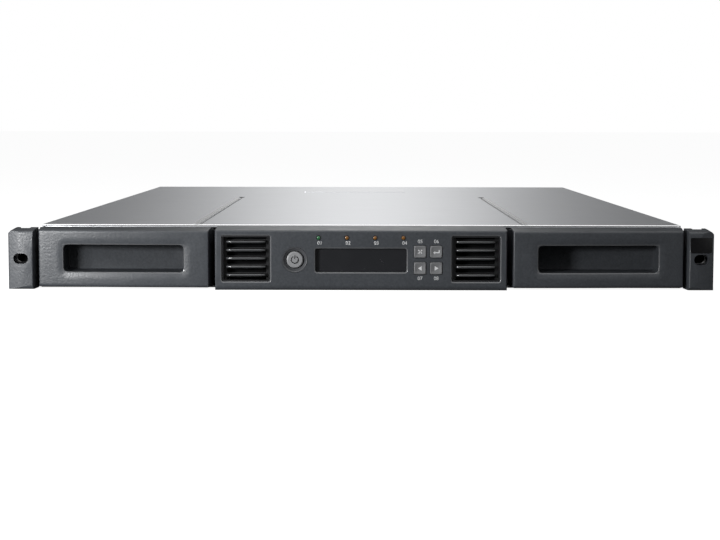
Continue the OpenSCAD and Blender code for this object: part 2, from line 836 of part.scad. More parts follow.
rod_y0 = cover_y + 3;
rod_y1 = drive_y - 6;
bracket_t = 4;

module guide_rods() {
    color("#c4c7ca") for (s = [-1, 1]) bar_y(s * rod_spacing / 2, rod_z, rod_d / 2, rod_y0, rod_y1);
}

module rod_bracket(y) {
    color("#9a9da0") difference() {
        block([-rod_spacing / 2 - 8, y, floor_z], [rod_spacing / 2 + 8, y + bracket_t, 9.6]);
        for (s = [-1, 1]) bar_y(s * rod_spacing / 2, rod_z, rod_d / 2 + run_gap, y - 1, y + bracket_t + 1);
    }
}

module front_rod_bracket() rod_bracket(rod_y0);
module rear_rod_bracket() rod_bracket(rod_y1 - bracket_t);

gear_add = 0.8 * gear_m;
gear_ded = 1.1 * gear_m;
gear_play = 0.12;
rack_z0 = 2.6;
rack_z1 = 7.4;

// One rack tooth and the space beside it, as points along the rack
function rack_tooth(y) =
    let (p = PI * gear_m, h = p / 4 - gear_play / 2, t = tan(20))
    [[gear_ded, y - h - gear_ded * t], [-gear_add, y - h + gear_add * t],
     [-gear_add, y + h - gear_add * t], [gear_ded, y + h + gear_ded * t]];

module drive_rack() {
    p = PI * gear_m;
    y_mid = park_y - motor_back;
    count = ceil(((cells - 1) * cell_pitch + 2 * pinion_r) / p);
    first = y_mid + pinion_r - count * p;
    start = y_mid + (floor((first - y_mid) / p) + 0.5) * p;
    color("#8f9296") {
        translate([rack_line, 0, rack_z0]) linear_extrude(rack_z1 - rack_z0) polygon(concat(
            [for (i = [0:count]) each rack_tooth(start + i * p)],
            [[4, start + (count + 0.6) * p], [4, start - 0.6 * p]]
        ));
        block([rack_line + 1.6, start - 0.6 * p, floor_z],
              [rack_line + 4, start + (count + 0.6) * p, rack_z1]);
    }
}

// Involute tooth flank: polar angle of the flank at radius r
function inv(a) = tan(a) * 180 / PI - a;
function flank(r, rb) = inv(acos(min(1, rb / r)));

module pinion_shape() {
    rb = pinion_r * cos(20);
    ra = pinion_r + gear_add;
    rr = pinion_r - gear_ded;
    half = 90 / pinion_teeth - gear_play / 2 / pinion_r * 180 / PI + inv(20);
    radii = [for (i = [0:5]) rb + (ra - rb) * i / 5];
    polygon([for (k = [0:pinion_teeth - 1]) let (c = 360 * k / pinion_teeth) each concat(
        [rr * [cos(c - half), sin(c - half)]],
        [for (r = radii) r * [cos(c - half + flank(r, rb)), sin(c - half + flank(r, rb))]],
        [for (i = [5:-1:0]) radii[i] * [cos(c + half - flank(radii[i], rb)),
                                        sin(c + half - flank(radii[i], rb))]],
        [rr * [cos(c + half), sin(c + half)]]
    )]);
}

shaft_r = 1.5;

module drive_pinion() {
    color("#c9b26a") translate([motor_x, park_y - motor_back, 0]) {
        translate([0, 0, rack_z0]) linear_extrude(rack_z1 - rack_z0) pinion_shape();
        translate([0, 0, rack_z1 - 0.1]) cylinder(r = shaft_r, h = plate_z + plate_t + 2 - rack_z1);
    }
}

hub_r = 9;
journal_r = 5;

// Carriage: a plate on four bushings, with the turntable's bearing at its centre
module carriage_plate() {
    arm_y = park_y - motor_back - 16;
    color("#7b7e82") difference() {
        union() {
            block([-rod_spacing / 2 - 8, park_y - 58, plate_z],
                  [rod_spacing / 2 + 8, park_y + 58, plate_z + plate_t]);
            block([-motor_x - 12, arm_y, plate_z], [motor_x + 12, park_y - 40, plate_z + plate_t]);
            for (s = [-1, 1], y = [-56, 36]) {
                block([s * rod_spacing / 2 - 5.5, park_y + y, floor_z + 0.8],
                      [s * rod_spacing / 2 + 5.5, park_y + y + 20, plate_z]);
            }
            translate([0, park_y, plate_z]) cylinder(r = hub_r, h = turn_z - plate_z - 0.2);
        }
        for (s = [-1, 1]) {
            bar_y(s * rod_spacing / 2, rod_z, rod_d / 2 + run_gap, park_y - 80, park_y + 80);
        }
        translate([0, park_y, 0]) cylinder(r = journal_r + run_gap, h = 20);
        translate([motor_x, park_y - motor_back, 0]) cylinder(r = shaft_r + run_gap, h = 20);
        for (s = [-1, 1]) translate([s * 22, park_y + 30, plate_z - 1]) linear_extrude(plate_t + 2)
            round_rect(18, 30, 4);
    }
}

module transport_motor() {
    color("#3c3f42") difference() {
        translate([motor_x, park_y - motor_back, plate_z + plate_t]) cylinder(r = 11, h = 8.6);
        translate([motor_x, park_y - motor_back, plate_z]) cylinder(r = shaft_r + run_gap, h = 5);
    }
}

module turn_motor() {
    color("#3c3f42") difference() {
        translate([0, park_y, floor_z + 0.8]) cylinder(r = 24, h = plate_z - floor_z - 0.8);
        translate([0, park_y, floor_z + 2.4]) cylinder(r = journal_r + run_gap, h = 10);
    }
}

module code_reader() {
    color("#202225") translate([-motor_x, park_y - motor_back, plate_z + plate_t]) difference() {
        linear_extrude(8.6) round_rect(20, 16, 2);
        translate([-11, -4, 3]) cube([3, 8, 4]);
    }
}

table_half = cart_w / 2 + 7.5;

// Turntable: deck, two side walls and a journal that turns in the carriage
module turntable() {
    color("#a9acaf") translate([0, park_y, 0]) difference() {
        union() {
            intersection() {
                translate([0, 0, turn_z]) cylinder(r = turn_r, h = 24);
                union() {
                    block([-table_half, -turn_r, turn_z], [table_half, turn_r, cart_z - 0.1]);
                    for (s = [-1, 1]) side(s) {
                        block([table_half - 1.5, -turn_r, turn_z], [table_half, turn_r, cart_z + cart_h]);
                    }
                }
            }
            translate([0, 0, floor_z + 2.6]) cylinder(r = journal_r, h = turn_z - floor_z - 2);
        }
        for (s = [-1, 1]) translate([s * 30, 0, turn_z - 1]) linear_extrude(6) round_rect(16, 80, 5);
        for (s = [-1, 1]) side(s) {
            translate([table_half - 3, 0, cart_z + 12]) rotate([90, 0, 90])
                linear_extrude(5) round_rect(56, 8, 3);
        }
    }
}

picker_tail = -61;

module picker_motor() {
    color("#33363a") translate([0, park_y, 0]) {
        bar_x(picker_tail - 6.5, cart_z + 5.4, 5.2, -14, 14);
        block([-10, picker_tail - 11, cart_z - 0.1], [10, picker_tail - 2, cart_z + 4]);
    }
}

// Picker: a cross bar behind the cartridge and two hooked arms along its sides
module picker() {
    arm_in = cart_w / 2 + 0.7;
    arm_out = table_half - 1.5 - 1.2;
    tip = 51;
    z0 = cart_z + 8.6;
    z1 = cart_z + 14.6;
    color("#d0d2d4") translate([0, park_y, 0]) {
        difference() {
            block([-arm_out, picker_tail + 0.4, cart_z + 0.2], [arm_out, picker_tail + 6, z1]);
            for (x = [-36, 0, 36]) translate([x, picker_tail - 1, cart_z + 5]) cube([16, 10, 6]);
        }
        for (s = [-1, 1]) side(s) {
            translate([0, 0, z0]) linear_extrude(z1 - z0) polygon([
                [arm_in, picker_tail + 5], [arm_out, picker_tail + 5], [arm_out, tip],
                [arm_in + 1, tip + 3], [arm_in - 2.2, tip], [arm_in - 2.2, tip - 4], [arm_in, tip - 6]
            ]);
        }
    }
}

/* ---------- tape drive and rear ---------- */

mouth = [cart_w + 3, cart_h + 1.4];
mouth_z = cart_z - 0.7;
mouth_depth = 60;
face_t = 5;
sled_w = drive_w + 18;
sled_t = 1.5;

module drive_body() {
    color("#a4a6a8") difference() {
        block([-drive_w / 2, drive_y + face_t, drive_z], [drive_w / 2, rear_y, drive_top]);
        block([-mouth[0] / 2, drive_y, mouth_z], [mouth[0] / 2, drive_y + mouth_depth, mouth_z + mouth[1]]);
        // Lower covers step in along both sides
        for (s = [-1, 1]) side(s) {
            block([drive_w / 2 - 1.5, drive_y, drive_z + 30], [drive_w / 2 + 1, rear_y + 1, drive_top + 1]);
        }
    }
}

module drive_face() {
    color("#2b2d30") difference() {
        block([-drive_w / 2, drive_y, drive_z], [drive_w / 2, drive_y + face_t, drive_top]);
        block([-mouth[0] / 2, drive_y - 1, mouth_z], [mouth[0] / 2, drive_y + face_t + 1, mouth_z + mouth[1]]);
        // Eject button recess and lamp
        translate([drive_w / 2 - 10, 0, drive_z + 8]) facing(drive_y - 1, drive_y + 1) round_rect(9, 5, 1);
    }
}

// The hot-swap sled: side runners and a perforated rear plate
module drive_sled() {
    holes_x = 12;
    color("#8d9094") {
        for (s = [-1, 1]) side(s) {
            block([drive_w / 2, drive_y + 12, drive_z], [drive_w / 2 + 1.2, rear_y, drive_z + 26]);
        }
        difference() {
            block([-sled_w / 2, rear_y, 2], [sled_w / 2, rear_y + sled_t, cover_under]);
            for (i = [0:holes_x - 1], j = [0:3]) {
                bar_y(-62 + 5 * i + (j % 2) * 2.5, 12 + 5 * j, 1.6, rear_y - 1, rear_y + sled_t + 1);
            }
            for (s = [-1, 1]) bar_y(s * (sled_w / 2 - 5), key_z, 2, rear_y - 1, rear_y + sled_t + 1);
            // Openings of the two data connectors
            for (x = [16, 46]) translate([x, 0, 14]) facing(rear_y - 1, rear_y + sled_t + 1)
                round_rect(23, 9, 1);
        }
        // Data connector shells behind the plate
        for (x = [16, 46]) translate([x, 0, 14]) difference() {
            facing(rear_y, rear_y + sled_t + 1.6) round_rect(24.6, 10.6, 1.4);
            facing(rear_y - 1, rear_y + sled_t + 2) round_rect(22, 8, 0.8);
        }
    }
}

module sled_handle() {
    r = 2;
    reach = 13;
    span = 36;
    x0 = 31;
    z = 32;
    color("#4d5054") {
        for (x = [x0 - span / 2, x0 + span / 2]) bar_y(x, z, r, rear_y + sled_t, rear_y + reach);
        bar_x(rear_y + reach, z, r, x0 - span / 2, x0 + span / 2);
        for (x = [x0 - span / 2, x0 + span / 2]) translate([x, rear_y + reach, z]) sphere(r);
    }
}

module sled_thumbscrews() {
    color("#b8babd") for (s = [-1, 1]) {
        bar_y(s * (sled_w / 2 - 5), key_z, 1.9, rear_y - 3, rear_y + sled_t + 0.5);
        bar_y(s * (sled_w / 2 - 5), key_z, 4.4, rear_y + sled_t, rear_y + sled_t + 7);
    }
}

fan_x = tray_in - 12 - fan_side / 2;
fan_z = floor_z + fan_side / 2 + 0.2;
fan_y = rear_y - tray_t - fan_depth;
inlet = [28, 20.5];
inlet_x = -drive_w / 2 - 39;
inlet_z = 20;
port_y = rear_y - tray_t;
net = [16, 13.6];
usb = [14.6, 7];
serial = [12, 13.6];
// The three sockets stand evenly between the drive's sled and the fan
port_gap = (fan_x - fan_side / 2 - sled_w / 2 - net[0] - usb[0] - serial[0]) / 4;
net_at = [sled_w / 2 + port_gap + net[0] / 2, 14];
usb_at = [net_at[0] + net[0] / 2 + port_gap + usb[0] / 2, 10.7];
serial_at = [usb_at[0] + usb[0] / 2 + port_gap + serial[0] / 2, 14];

module rear_panel() {
    plate_y = rear_y - tray_t;
    color("#9a9da0") difference() {
        union() {
            block([-tray_in + seat_gap, plate_y, floor_z + seat_gap], [tray_in - seat_gap, rear_y, cover_under]);
            for (s = [-1, 1]) side(s) {
                block([tray_in - tray_t - seat_gap, plate_y - 9, floor_z + seat_gap],
                      [tray_in - seat_gap, plate_y + 0.1, cover_under - 8]);
            }
        }
        block([-drive_w / 2 - 1.6, plate_y - 1, -1], [drive_w / 2 + 1.6, rear_y + 1, drive_top + 0.1]);
        for (s = [-1, 1]) bar_y(s * (sled_w / 2 - 5), key_z, 2, plate_y - 1, rear_y + 1);
        // Fan guards: rings of holes
        for (s = [-1, 1]) {
            for (ring = [1:3], k = [0:6 * ring - 1]) {
                a = 60 / ring * k;
                bar_y(s * fan_x + 5 * ring * cos(a), fan_z + 5 * ring * sin(a), 1.9, plate_y - 1, rear_y + 1);
            }
        }
        translate([inlet_x, 0, inlet_z]) facing(plate_y - 1, rear_y + 1) round_rect(inlet[0], inlet[1], 1.5);
        for (p = [[net_at, net], [usb_at, usb], [serial_at, serial]]) {
            translate([p[0][0], 0, p[0][1]]) facing(plate_y - 1, rear_y + 1) round_rect(p[1][0], p[1][1], 0.6);
        }
        // Magazine release holes
        for (s = [-1, 1]) bar_y(s * (mag_tray_in + 2), 34, 1.7, plate_y - 1, rear_y + 1);
    }
}

module power_supply() {
    x0 = -fan_x - fan_side / 2 - 2;
    y1 = fan_y - 3;
    color("#a9acaf") difference() {
        block([x0, y1 - 130, floor_z + 0.1], [-drive_w / 2 - 14, y1, drive_top]);
        for (i = [0:9]) translate([x0 + 12 + 8 * i, y1 - 60, drive_top - 1])
            linear_extrude(2) round_rect(3, 60, 1.2);
    }
}

module power_inlet() {
    color("#1c1d1f") translate([inlet_x, 0, inlet_z]) difference() {
        union() {
            facing(fan_y - 2.9, rear_y - 0.1) round_rect(inlet[0] - 0.3, inlet[1] - 0.3, 1.4);
            facing(rear_y, rear_y + 1.2) round_rect(inlet[0] + 3, inlet[1] + 3, 2.5);
            facing(rear_y - 0.2, rear_y + 0.2) round_rect(inlet[0] - 0.3, inlet[1] - 0.3, 1.4);
        }
        facing(rear_y - 14, rear_y + 2) round_rect(inlet[0] - 3.6, inlet[1] - 4.2, 2);
    }
}

board_x0 = drive_w / 2 + 10;
board_x1 = fan_x - fan_side / 2 - 4;
board_z = 5.6;

module controller_board() {
    y0 = mag_len_y + 22;
    color("#2c6a45") {
        block([board_x0, y0, board_z], [board_x1, port_y - 2, board_z + board_t]);
        // Processor, memory and power parts
        block([board_x0 + 14, y0 + 60, board_z + board_t], [board_x0 + 39, y0 + 85, board_z + board_t + 4]);
        block([board_x0 + 46, y0 + 62, board_z + board_t], [board_x0 + 60, y0 + 84, board_z + board_t + 1.4]);
        for (i = [0:3]) translate([board_x0 + 12 + 14 * i, y0 + 20, board_z + board_t])
            cylinder(r = 4, h = 11);
        for (x = [board_x0 + 4, board_x1 - 4], y = [y0 + 5, port_y - 30])
            translate([x, y, floor_z]) cylinder(r = 2.6, h = board_z - floor_z);
    }
}

module port_shell(at, size, depth) {
    translate([at[0], 0, at[1]]) difference() {
        facing(port_y - 21, rear_y + 0.3) square([size[0] - 0.4, size[1] - 0.4], center = true);
        facing(rear_y - depth, rear_y + 1) square([size[0] - 2, size[1] - 2], center = true);
    }
}

module port_block() {
    color("#b9bcbf") {
        port_shell(net_at, net, 12);
        port_shell(usb_at, usb, 10);
        port_shell(serial_at, serial, 12);
    }
}

fan_pin_r = 1.2;
fan_hub_r = 10;

// The frame's outline with its bore and its four screw holes
module fan_plate(bore) {
    difference() {
        round_rect(fan_side, fan_side, 3);
        circle(bore);
        for (x = [-1, 1], z = [-1, 1]) {
            translate([x * (fan_side / 2 - 4), z * (fan_side / 2 - 4)]) circle(1.6);
        }
    }
}

module fan_frame(s) {
    bore = fan_side / 2 - 1;
    y1 = fan_y + fan_depth;
    strut = 2.5;
    color("#1f2022") translate([s * fan_x, 0, fan_z]) {
        facing(fan_y, y1 - strut) fan_plate(bore);
        // Hub seat on four struts
        facing(y1 - strut, y1) {
            fan_plate(bore);
            difference() {
                union() {
                    circle(fan_hub_r + 1);
                    for (a = [45:90:315]) rotate(a) translate([fan_hub_r - 2, -1]) square([bore - fan_hub_r + 3, 2]);
                }
                circle(fan_pin_r + run_gap);
            }
        }
        difference() {
            bar_y(0, 0, 3, y1 - 8, y1 - strut);
            bar_y(0, 0, fan_pin_r + run_gap, y1 - 9, y1);
        }
    }
}

module fan_rotor(s) {
    tip = fan_side / 2 - 1.8;
    hub = fan_hub_r;
    y1 = fan_y + fan_depth - 3;
    color("#2d2f32") translate([s * fan_x, 0, fan_z]) {
        difference() {
            bar_y(0, 0, hub, fan_y + 1.5, y1);
            bar_y(0, 0, 3.6, fan_y + fan_depth - 8.4, y1 + 1);
        }
        bar_y(0, 0, fan_pin_r, fan_y + 3, fan_y + fan_depth - 1);
        intersection() {
            bar_y(0, 0, tip, fan_y + 1.5, y1);
            for (k = [0:fan_blades - 1]) rotate([0, 360 * k / fan_blades, 0])
                translate([hub - 1, (fan_y + 1.5 + y1) / 2, 0]) rotate([38, 0, 0])
                    translate([0, -fan_depth, -0.6]) cube([tip - hub + 3, 2 * fan_depth, 1.2]);
        }
    }
}

module left_fan_frame() fan_frame(-1);
module right_fan_frame() fan_frame(1);
module left_fan_rotor() fan_rotor(-1);
module right_fan_rotor() fan_rotor(1);

base_tray();
top_cover();
lock_patch();
rear_panel();
cover_screws();
left_rack_ear();
right_rack_ear();
left_ear_cap();
right_ear_cap();
badge_plate();
ear_screws();
front_panel();
left_vent_grille();
right_vent_grille();
power_ring();
display_window();
display_module();
status_lamps();
panel_board();
board_screws();
power_button();
back_key();
enter_key();
previous_key();
next_key();
left_magazine_front();
left_magazine_tray();
left_cartridges();
right_magazine_front();
right_magazine_tray();
right_cartridges();
left_magazine_guide();
right_magazine_guide();
guide_rods();
front_rod_bracket();
rear_rod_bracket();
drive_rack();
carriage_plate();
transport_motor();
turn_motor();
code_reader();
drive_pinion();
turntable();
picker_motor();
picker();
drive_body();
drive_face();
drive_sled();
sled_handle();
sled_thumbscrews();
power_supply();
power_inlet();
controller_board();
port_block();
left_fan_frame();
left_fan_rotor();
right_fan_frame();
right_fan_rotor();
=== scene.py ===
"""The looks of a one-unit tape library with two pull-out magazines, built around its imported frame."""

import json
import math

import bmesh
import bpy
from mathutils import Matrix, Vector


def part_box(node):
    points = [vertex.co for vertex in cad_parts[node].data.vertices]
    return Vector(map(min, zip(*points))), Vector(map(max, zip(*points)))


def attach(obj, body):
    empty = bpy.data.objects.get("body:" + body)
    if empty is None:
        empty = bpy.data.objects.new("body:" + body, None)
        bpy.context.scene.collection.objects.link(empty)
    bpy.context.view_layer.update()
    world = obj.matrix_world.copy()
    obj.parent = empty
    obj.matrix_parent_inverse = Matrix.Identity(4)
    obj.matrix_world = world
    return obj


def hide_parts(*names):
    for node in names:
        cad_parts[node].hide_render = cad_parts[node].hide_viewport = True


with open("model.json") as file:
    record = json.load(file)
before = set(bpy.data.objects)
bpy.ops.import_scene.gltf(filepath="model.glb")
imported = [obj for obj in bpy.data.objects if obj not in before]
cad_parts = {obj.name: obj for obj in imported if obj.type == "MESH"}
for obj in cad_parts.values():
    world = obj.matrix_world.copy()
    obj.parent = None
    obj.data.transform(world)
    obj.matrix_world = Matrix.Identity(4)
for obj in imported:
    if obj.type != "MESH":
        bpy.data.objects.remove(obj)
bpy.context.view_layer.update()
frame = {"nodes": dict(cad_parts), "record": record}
scene = bpy.context.scene
scene.view_settings.view_transform = "Standard"
NODES = frame["nodes"]
MM = 0.001
SIDES = ((-1, "left"), (1, "right"))
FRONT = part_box("front_panel")[0][1] / MM  # the operator panel's face, and the front of the magazines


def mm(*values):
    """A point given in millimetres, as a vector in metres."""
    return Vector(values) * MM


def centre(node):
    """The middle of a frame node's box."""
    lo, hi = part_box(node)
    return (Vector(lo) + Vector(hi)) / 2


# ---------------------------------------------------------------- camera, lights, background

def make_camera():
    """A long lens a little above the front, looking slightly down."""
    data = bpy.data.cameras.new("camera")
    data.sensor_width = 36
    data.lens = 85.775
    data.clip_end = 50
    camera = bpy.data.objects.new("camera", data)
    scene.collection.objects.link(camera)
    camera.location = (0.0006, -1.187, 0.1145)
    pitch, yaw, roll = 0.0858, 0.0011, -0.002
    turn = (Matrix.Rotation(yaw, 4, "Z") @ Matrix.Rotation(math.pi / 2 - pitch, 4, "X")
            @ Matrix.Rotation(-roll, 4, "Z"))
    camera.rotation_euler = turn.to_euler()
    scene.camera = camera


def softbox(name, place, aim, size, power):
    """A rectangular lamp at a place, turned towards a point."""
    data = bpy.data.lights.new(name, "AREA")
    data.shape = "RECTANGLE"
    data.size, data.size_y = size
    data.energy = power
    lamp = bpy.data.objects.new(name, data)
    scene.collection.objects.link(lamp)
    lamp.location = place
    lamp.rotation_euler = (Vector(aim) - Vector(place)).to_track_quat("-Z", "Y").to_euler()
    lamp.visible_camera = False


def make_lights():
    """A near and a far lamp at the left, a weak one in front and a wide one above."""
    softbox("key_light", (-0.42, -0.42, 0.105), (-0.16, 0.0, 0.02), (0.12, 0.09), 1.95)
    softbox("far_key_light", (-1.3, -1.15, 0.3), (0.05, 0.0, 0.02), (0.25, 0.16), 8)
    softbox("fill_light", (-0.2, -1.6, 1.1), (0.0, 0.0, 0.02), (1.2, 0.8), 0.5)
    softbox("top_light", (-0.25, -0.35, 1.5), (0.0, 0.25, 0.02), (1.1, 0.8), 3.5)


def graph(tree):
    """Short ways to add nodes to a shader tree: a maths node, and one that fits a number to a range."""
    def maths(operation, *values):
        node = tree.nodes.new("ShaderNodeMath")
        node.operation = operation
        for socket, value in zip(node.inputs, values):
            if isinstance(value, (int, float)):
                socket.default_value = value
            else:
                tree.links.new(value, socket)
        return node.outputs[0]

    def step(value, start, end, low=0.0, high=1.0, smooth=True):
        node = tree.nodes.new("ShaderNodeMapRange")
        node.interpolation_type = "SMOOTHSTEP" if smooth else "LINEAR"
        for key, number in (("From Min", start), ("From Max", end), ("To Min", low), ("To Max", high)):
            node.inputs[key].default_value = number
        tree.links.new(value, node.inputs["Value"])
        return node.outputs[0]

    return maths, step


def mixed(tree, share, first, second):
    """Two shaders mixed: only the first where share is 0, only the second where it is 1."""
    mix = tree.nodes.new("ShaderNodeMixShader")
    for socket, source in zip(mix.inputs, (share, first, second)):
        tree.links.new(source, socket)
    return mix.outputs[0]


def only_seen_by(tree, kinds, seen, unseen):
    """Shows one shader to some kinds of ray and another to the rest."""
    maths, _ = graph(tree)
    path = tree.nodes.new("ShaderNodeLightPath")
    share = path.outputs[kinds[0]]
    for kind in kinds[1:]:
        share = maths("MAXIMUM", share, path.outputs[kind])
    return mixed(tree, share, unseen, seen)


def shader(tree, kind, colour, **values):
    """A simple shader node with its colour and numbers set."""
    node = tree.nodes.new(kind)
    node.inputs["Color"].default_value = (*colour, 1)
    for key, value in values.items():
        node.inputs[key].default_value = value
    return node.outputs[0]


def put_out(tree, kind, source):
    """Ends a tree in an output of the given kind."""
    tree.links.new(source, tree.nodes.new(kind).inputs["Surface"])


def empty_material(name):
    """A material with nothing in its tree yet, and the tree."""
    material = bpy.data.materials.new(name)
    material.use_nodes = True
    material.node_tree.nodes.clear()
    return material, material.node_tree


def own_axes(tree):
    """The X, Y and Z of a point in the object's own coordinates."""
    where = tree.nodes.new("ShaderNodeTexCoord")
    axes = tree.nodes.new("ShaderNodeSeparateXYZ")
    tree.links.new(where.outputs["Object"], axes.inputs[0])
    return axes.outputs


def make_world():
    """White to the camera and in reflections. What lights the object is a plain dim grey."""
    world = bpy.data.worlds.new("studio")
    scene.world = world
    world.use_nodes = True
    tree = world.node_tree
    tree.nodes.clear()
    white = shader(tree, "ShaderNodeBackground", (1, 1, 1), Strength=1)
    grey = shader(tree, "ShaderNodeBackground", (0.97, 0.985, 1), Strength=0.06)
    kinds = ("Is Camera Ray", "Is Glossy Ray", "Is Transmission Ray")
    put_out(tree, "ShaderNodeOutputWorld", only_seen_by(tree, kinds, white, grey))


def staged(name, corners, material):
    """A flat sheet that belongs to the studio."""
    mesh = bpy.data.meshes.new(name)
    mesh.from_pydata(corners, [], [tuple(range(len(corners)))])
    mesh.materials.append(material)
    sheet = bpy.data.objects.new(name, mesh)
    scene.collection.objects.link(sheet)
    return sheet


def make_floor():
    """A pale floor: white to the camera, with the object's own soft shadow on it."""
    reach, behind, beside = 20, (0.75, 1.0), (0.5, 0.9)
    material, tree = empty_material("floor_white")
    maths, step = graph(tree)
    matt = shader(tree, "ShaderNodeBsdfDiffuse", (0.7, 0.7, 0.7))
    dim = shader(tree, "ShaderNodeBsdfDiffuse", (0.3, 0.3, 0.3))
    glow = shader(tree, "ShaderNodeEmission", (1, 1, 1), Strength=0.93)
    lit = tree.nodes.new("ShaderNodeAddShader")
    tree.links.new(matt, lit.inputs[0])
    tree.links.new(glow, lit.inputs[1])
    # Reflections see a white floor behind and beside the object, and a dim one close in front of it
    axes = own_axes(tree)
    beyond = maths("MAXIMUM", step(axes["Y"], *behind), step(maths("ABSOLUTE", axes["X"]), *beside))
    white = shader(tree, "ShaderNodeEmission", (1, 1, 1), Strength=0.8)
    unseen = only_seen_by(tree, ("Is Glossy Ray",), mixed(tree, beyond, dim, white), dim)
    shown = only_seen_by(tree, ("Is Camera Ray", "Is Transmission Ray"), lit.outputs[0], unseen)
    put_out(tree, "ShaderNodeOutputMaterial", shown)
    corners = [(-reach, -reach, 0), (reach, -reach, 0), (reach, reach, 0), (-reach, reach, 0)]
    staged("floor", corners, material)


def make_flags():
    """Black cards that only reflections see: one behind with a soft clear middle, one low in front."""
    far, wide, tall, clear_half, clear_from = 5.0, 9.0, 6.0, 0.55, 2.4
    near, left, right, low = -2.4, -1.6, 4, 0.4
    soft, tree = empty_material("flag_black")
    maths, step = graph(tree)
    axes = own_axes(tree)
    square = maths("POWER", maths("DIVIDE", maths("ABSOLUTE", axes["X"]), clear_half), 2)
    middle = maths("EXPONENT", maths("MULTIPLY", square, -1))
    # Clear again high up, so that only low reflections are shaped
    clear = maths("MAXIMUM", middle, step(axes["Z"], clear_from, tall))
    black = shader(tree, "ShaderNodeEmission", (1, 1, 1), Strength=0.03)
    nothing = shader(tree, "ShaderNodeBsdfTransparent", (1, 1, 1))
    put_out(tree, "ShaderNodeOutputMaterial", mixed(tree, clear, black, nothing))
    dark, tree = empty_material("flag_dark")
    put_out(tree, "ShaderNodeOutputMaterial", shader(tree, "ShaderNodeEmission", (1, 1, 1), Strength=0.02))
    behind = [(-wide, far, 0), (wide, far, 0), (wide, far, tall), (-wide, far, tall)]
    in_front = [(left, near, 0), (right, near, 0), (right, near, low), (left, near, low)]
    for flag in (staged("flag_behind", behind, soft), staged("flag_in_front", in_front, dark)):
        flag.visible_camera = flag.visible_diffuse = flag.visible_shadow = flag.visible_transmission = False


# ---------------------------------------------------------------- materials

def finish_material(name, colour, roughness, metallic=0.0, grain=(0.6, 0.004), speckle=0.0, mottle=0.0,
                    streak=None, coat=0.0, specular=0.5, wear=0.1):
    """A surface with its own grain, mottling and streaks.

    grain is (size in mm, bump height in mm). speckle varies the colour at the grain's size, and mottle at a
    hand's width. streak is (size in mm, strength, axis), for brushing along an axis. wear varies how rough
    the surface is."""
    material = bpy.data.materials.new(name)
    material.use_nodes = True
    tree = material.node_tree
    nodes, links = tree.nodes, tree.links
    maths, step = graph(tree)
    surface = nodes["Principled BSDF"]
    for key, value in (("Metallic", metallic), ("Coat Weight", coat), ("Coat Roughness", 0.12),
                       ("Specular IOR Level", specular), ("IOR", 1.5)):
        surface.inputs[key].default_value = value
    where = nodes.new("ShaderNodeTexCoord")

    def noise(size, detail, stretch=(1, 1, 1)):
        mapping = nodes.new("ShaderNodeMapping")
        mapping.inputs["Scale"].default_value = stretch
        links.new(where.outputs["Object"], mapping.inputs["Vector"])
        texture = nodes.new("ShaderNodeTexNoise")
        texture.inputs["Scale"].default_value = 1 / (size * MM)
        texture.inputs["Detail"].default_value = detail
        links.new(mapping.outputs[0], texture.inputs["Vector"])
        return texture.outputs["Fac"]

    def varied(value, middle, spread):
        """A noise fitted to a number, so that it varies by a share of itself."""
        return step(value, 0.3, 0.7, middle * (1 - spread), middle * (1 + spread), smooth=False)

    grain_size, grain_height = grain
    height = fine = noise(grain_size, 2)
    rough = varied(noise(9, 4), roughness, wear)
    tones = []
    if mottle:
        tones.append(varied(noise(40, 3), 1, mottle))
    if speckle:
        tones.append(varied(fine, 1, speckle))
    if streak:
        size, strength, axis = streak
        height = noise(size, 4, [0.02 if letter == axis else 1.0 for letter in "xyz"])
        tones.append(varied(height, 1, strength))
        rough = maths("MULTIPLY", rough, tones[-1])
    if tones:
        tone = tones[0]
        for other in tones[1:]:
            tone = maths("MULTIPLY", tone, other)
        tinted = nodes.new("ShaderNodeVectorMath")
        tinted.operation = "SCALE"
        tinted.inputs[0].default_value = colour
        links.new(tone, tinted.inputs["Scale"])
        links.new(tinted.outputs[0], surface.inputs["Base Color"])
    else:
        surface.inputs["Base Color"].default_value = (*colour, 1)
    links.new(rough, surface.inputs["Roughness"])
    bump = nodes.new("ShaderNodeBump")
    bump.inputs["Strength"].default_value = 1
    bump.inputs["Distance"].default_value = grain_height * MM
    links.new(height, bump.inputs["Height"])
    links.new(bump.outputs[0], surface.inputs["Normal"])
    return material


MATERIALS = {}


def material_for(slot):
    """The finish of one of the record's material slots."""
    if slot not in MATERIALS:
        MATERIALS[slot] = finish_material(slot, **FINISHES[slot])
    return MATERIALS[slot]


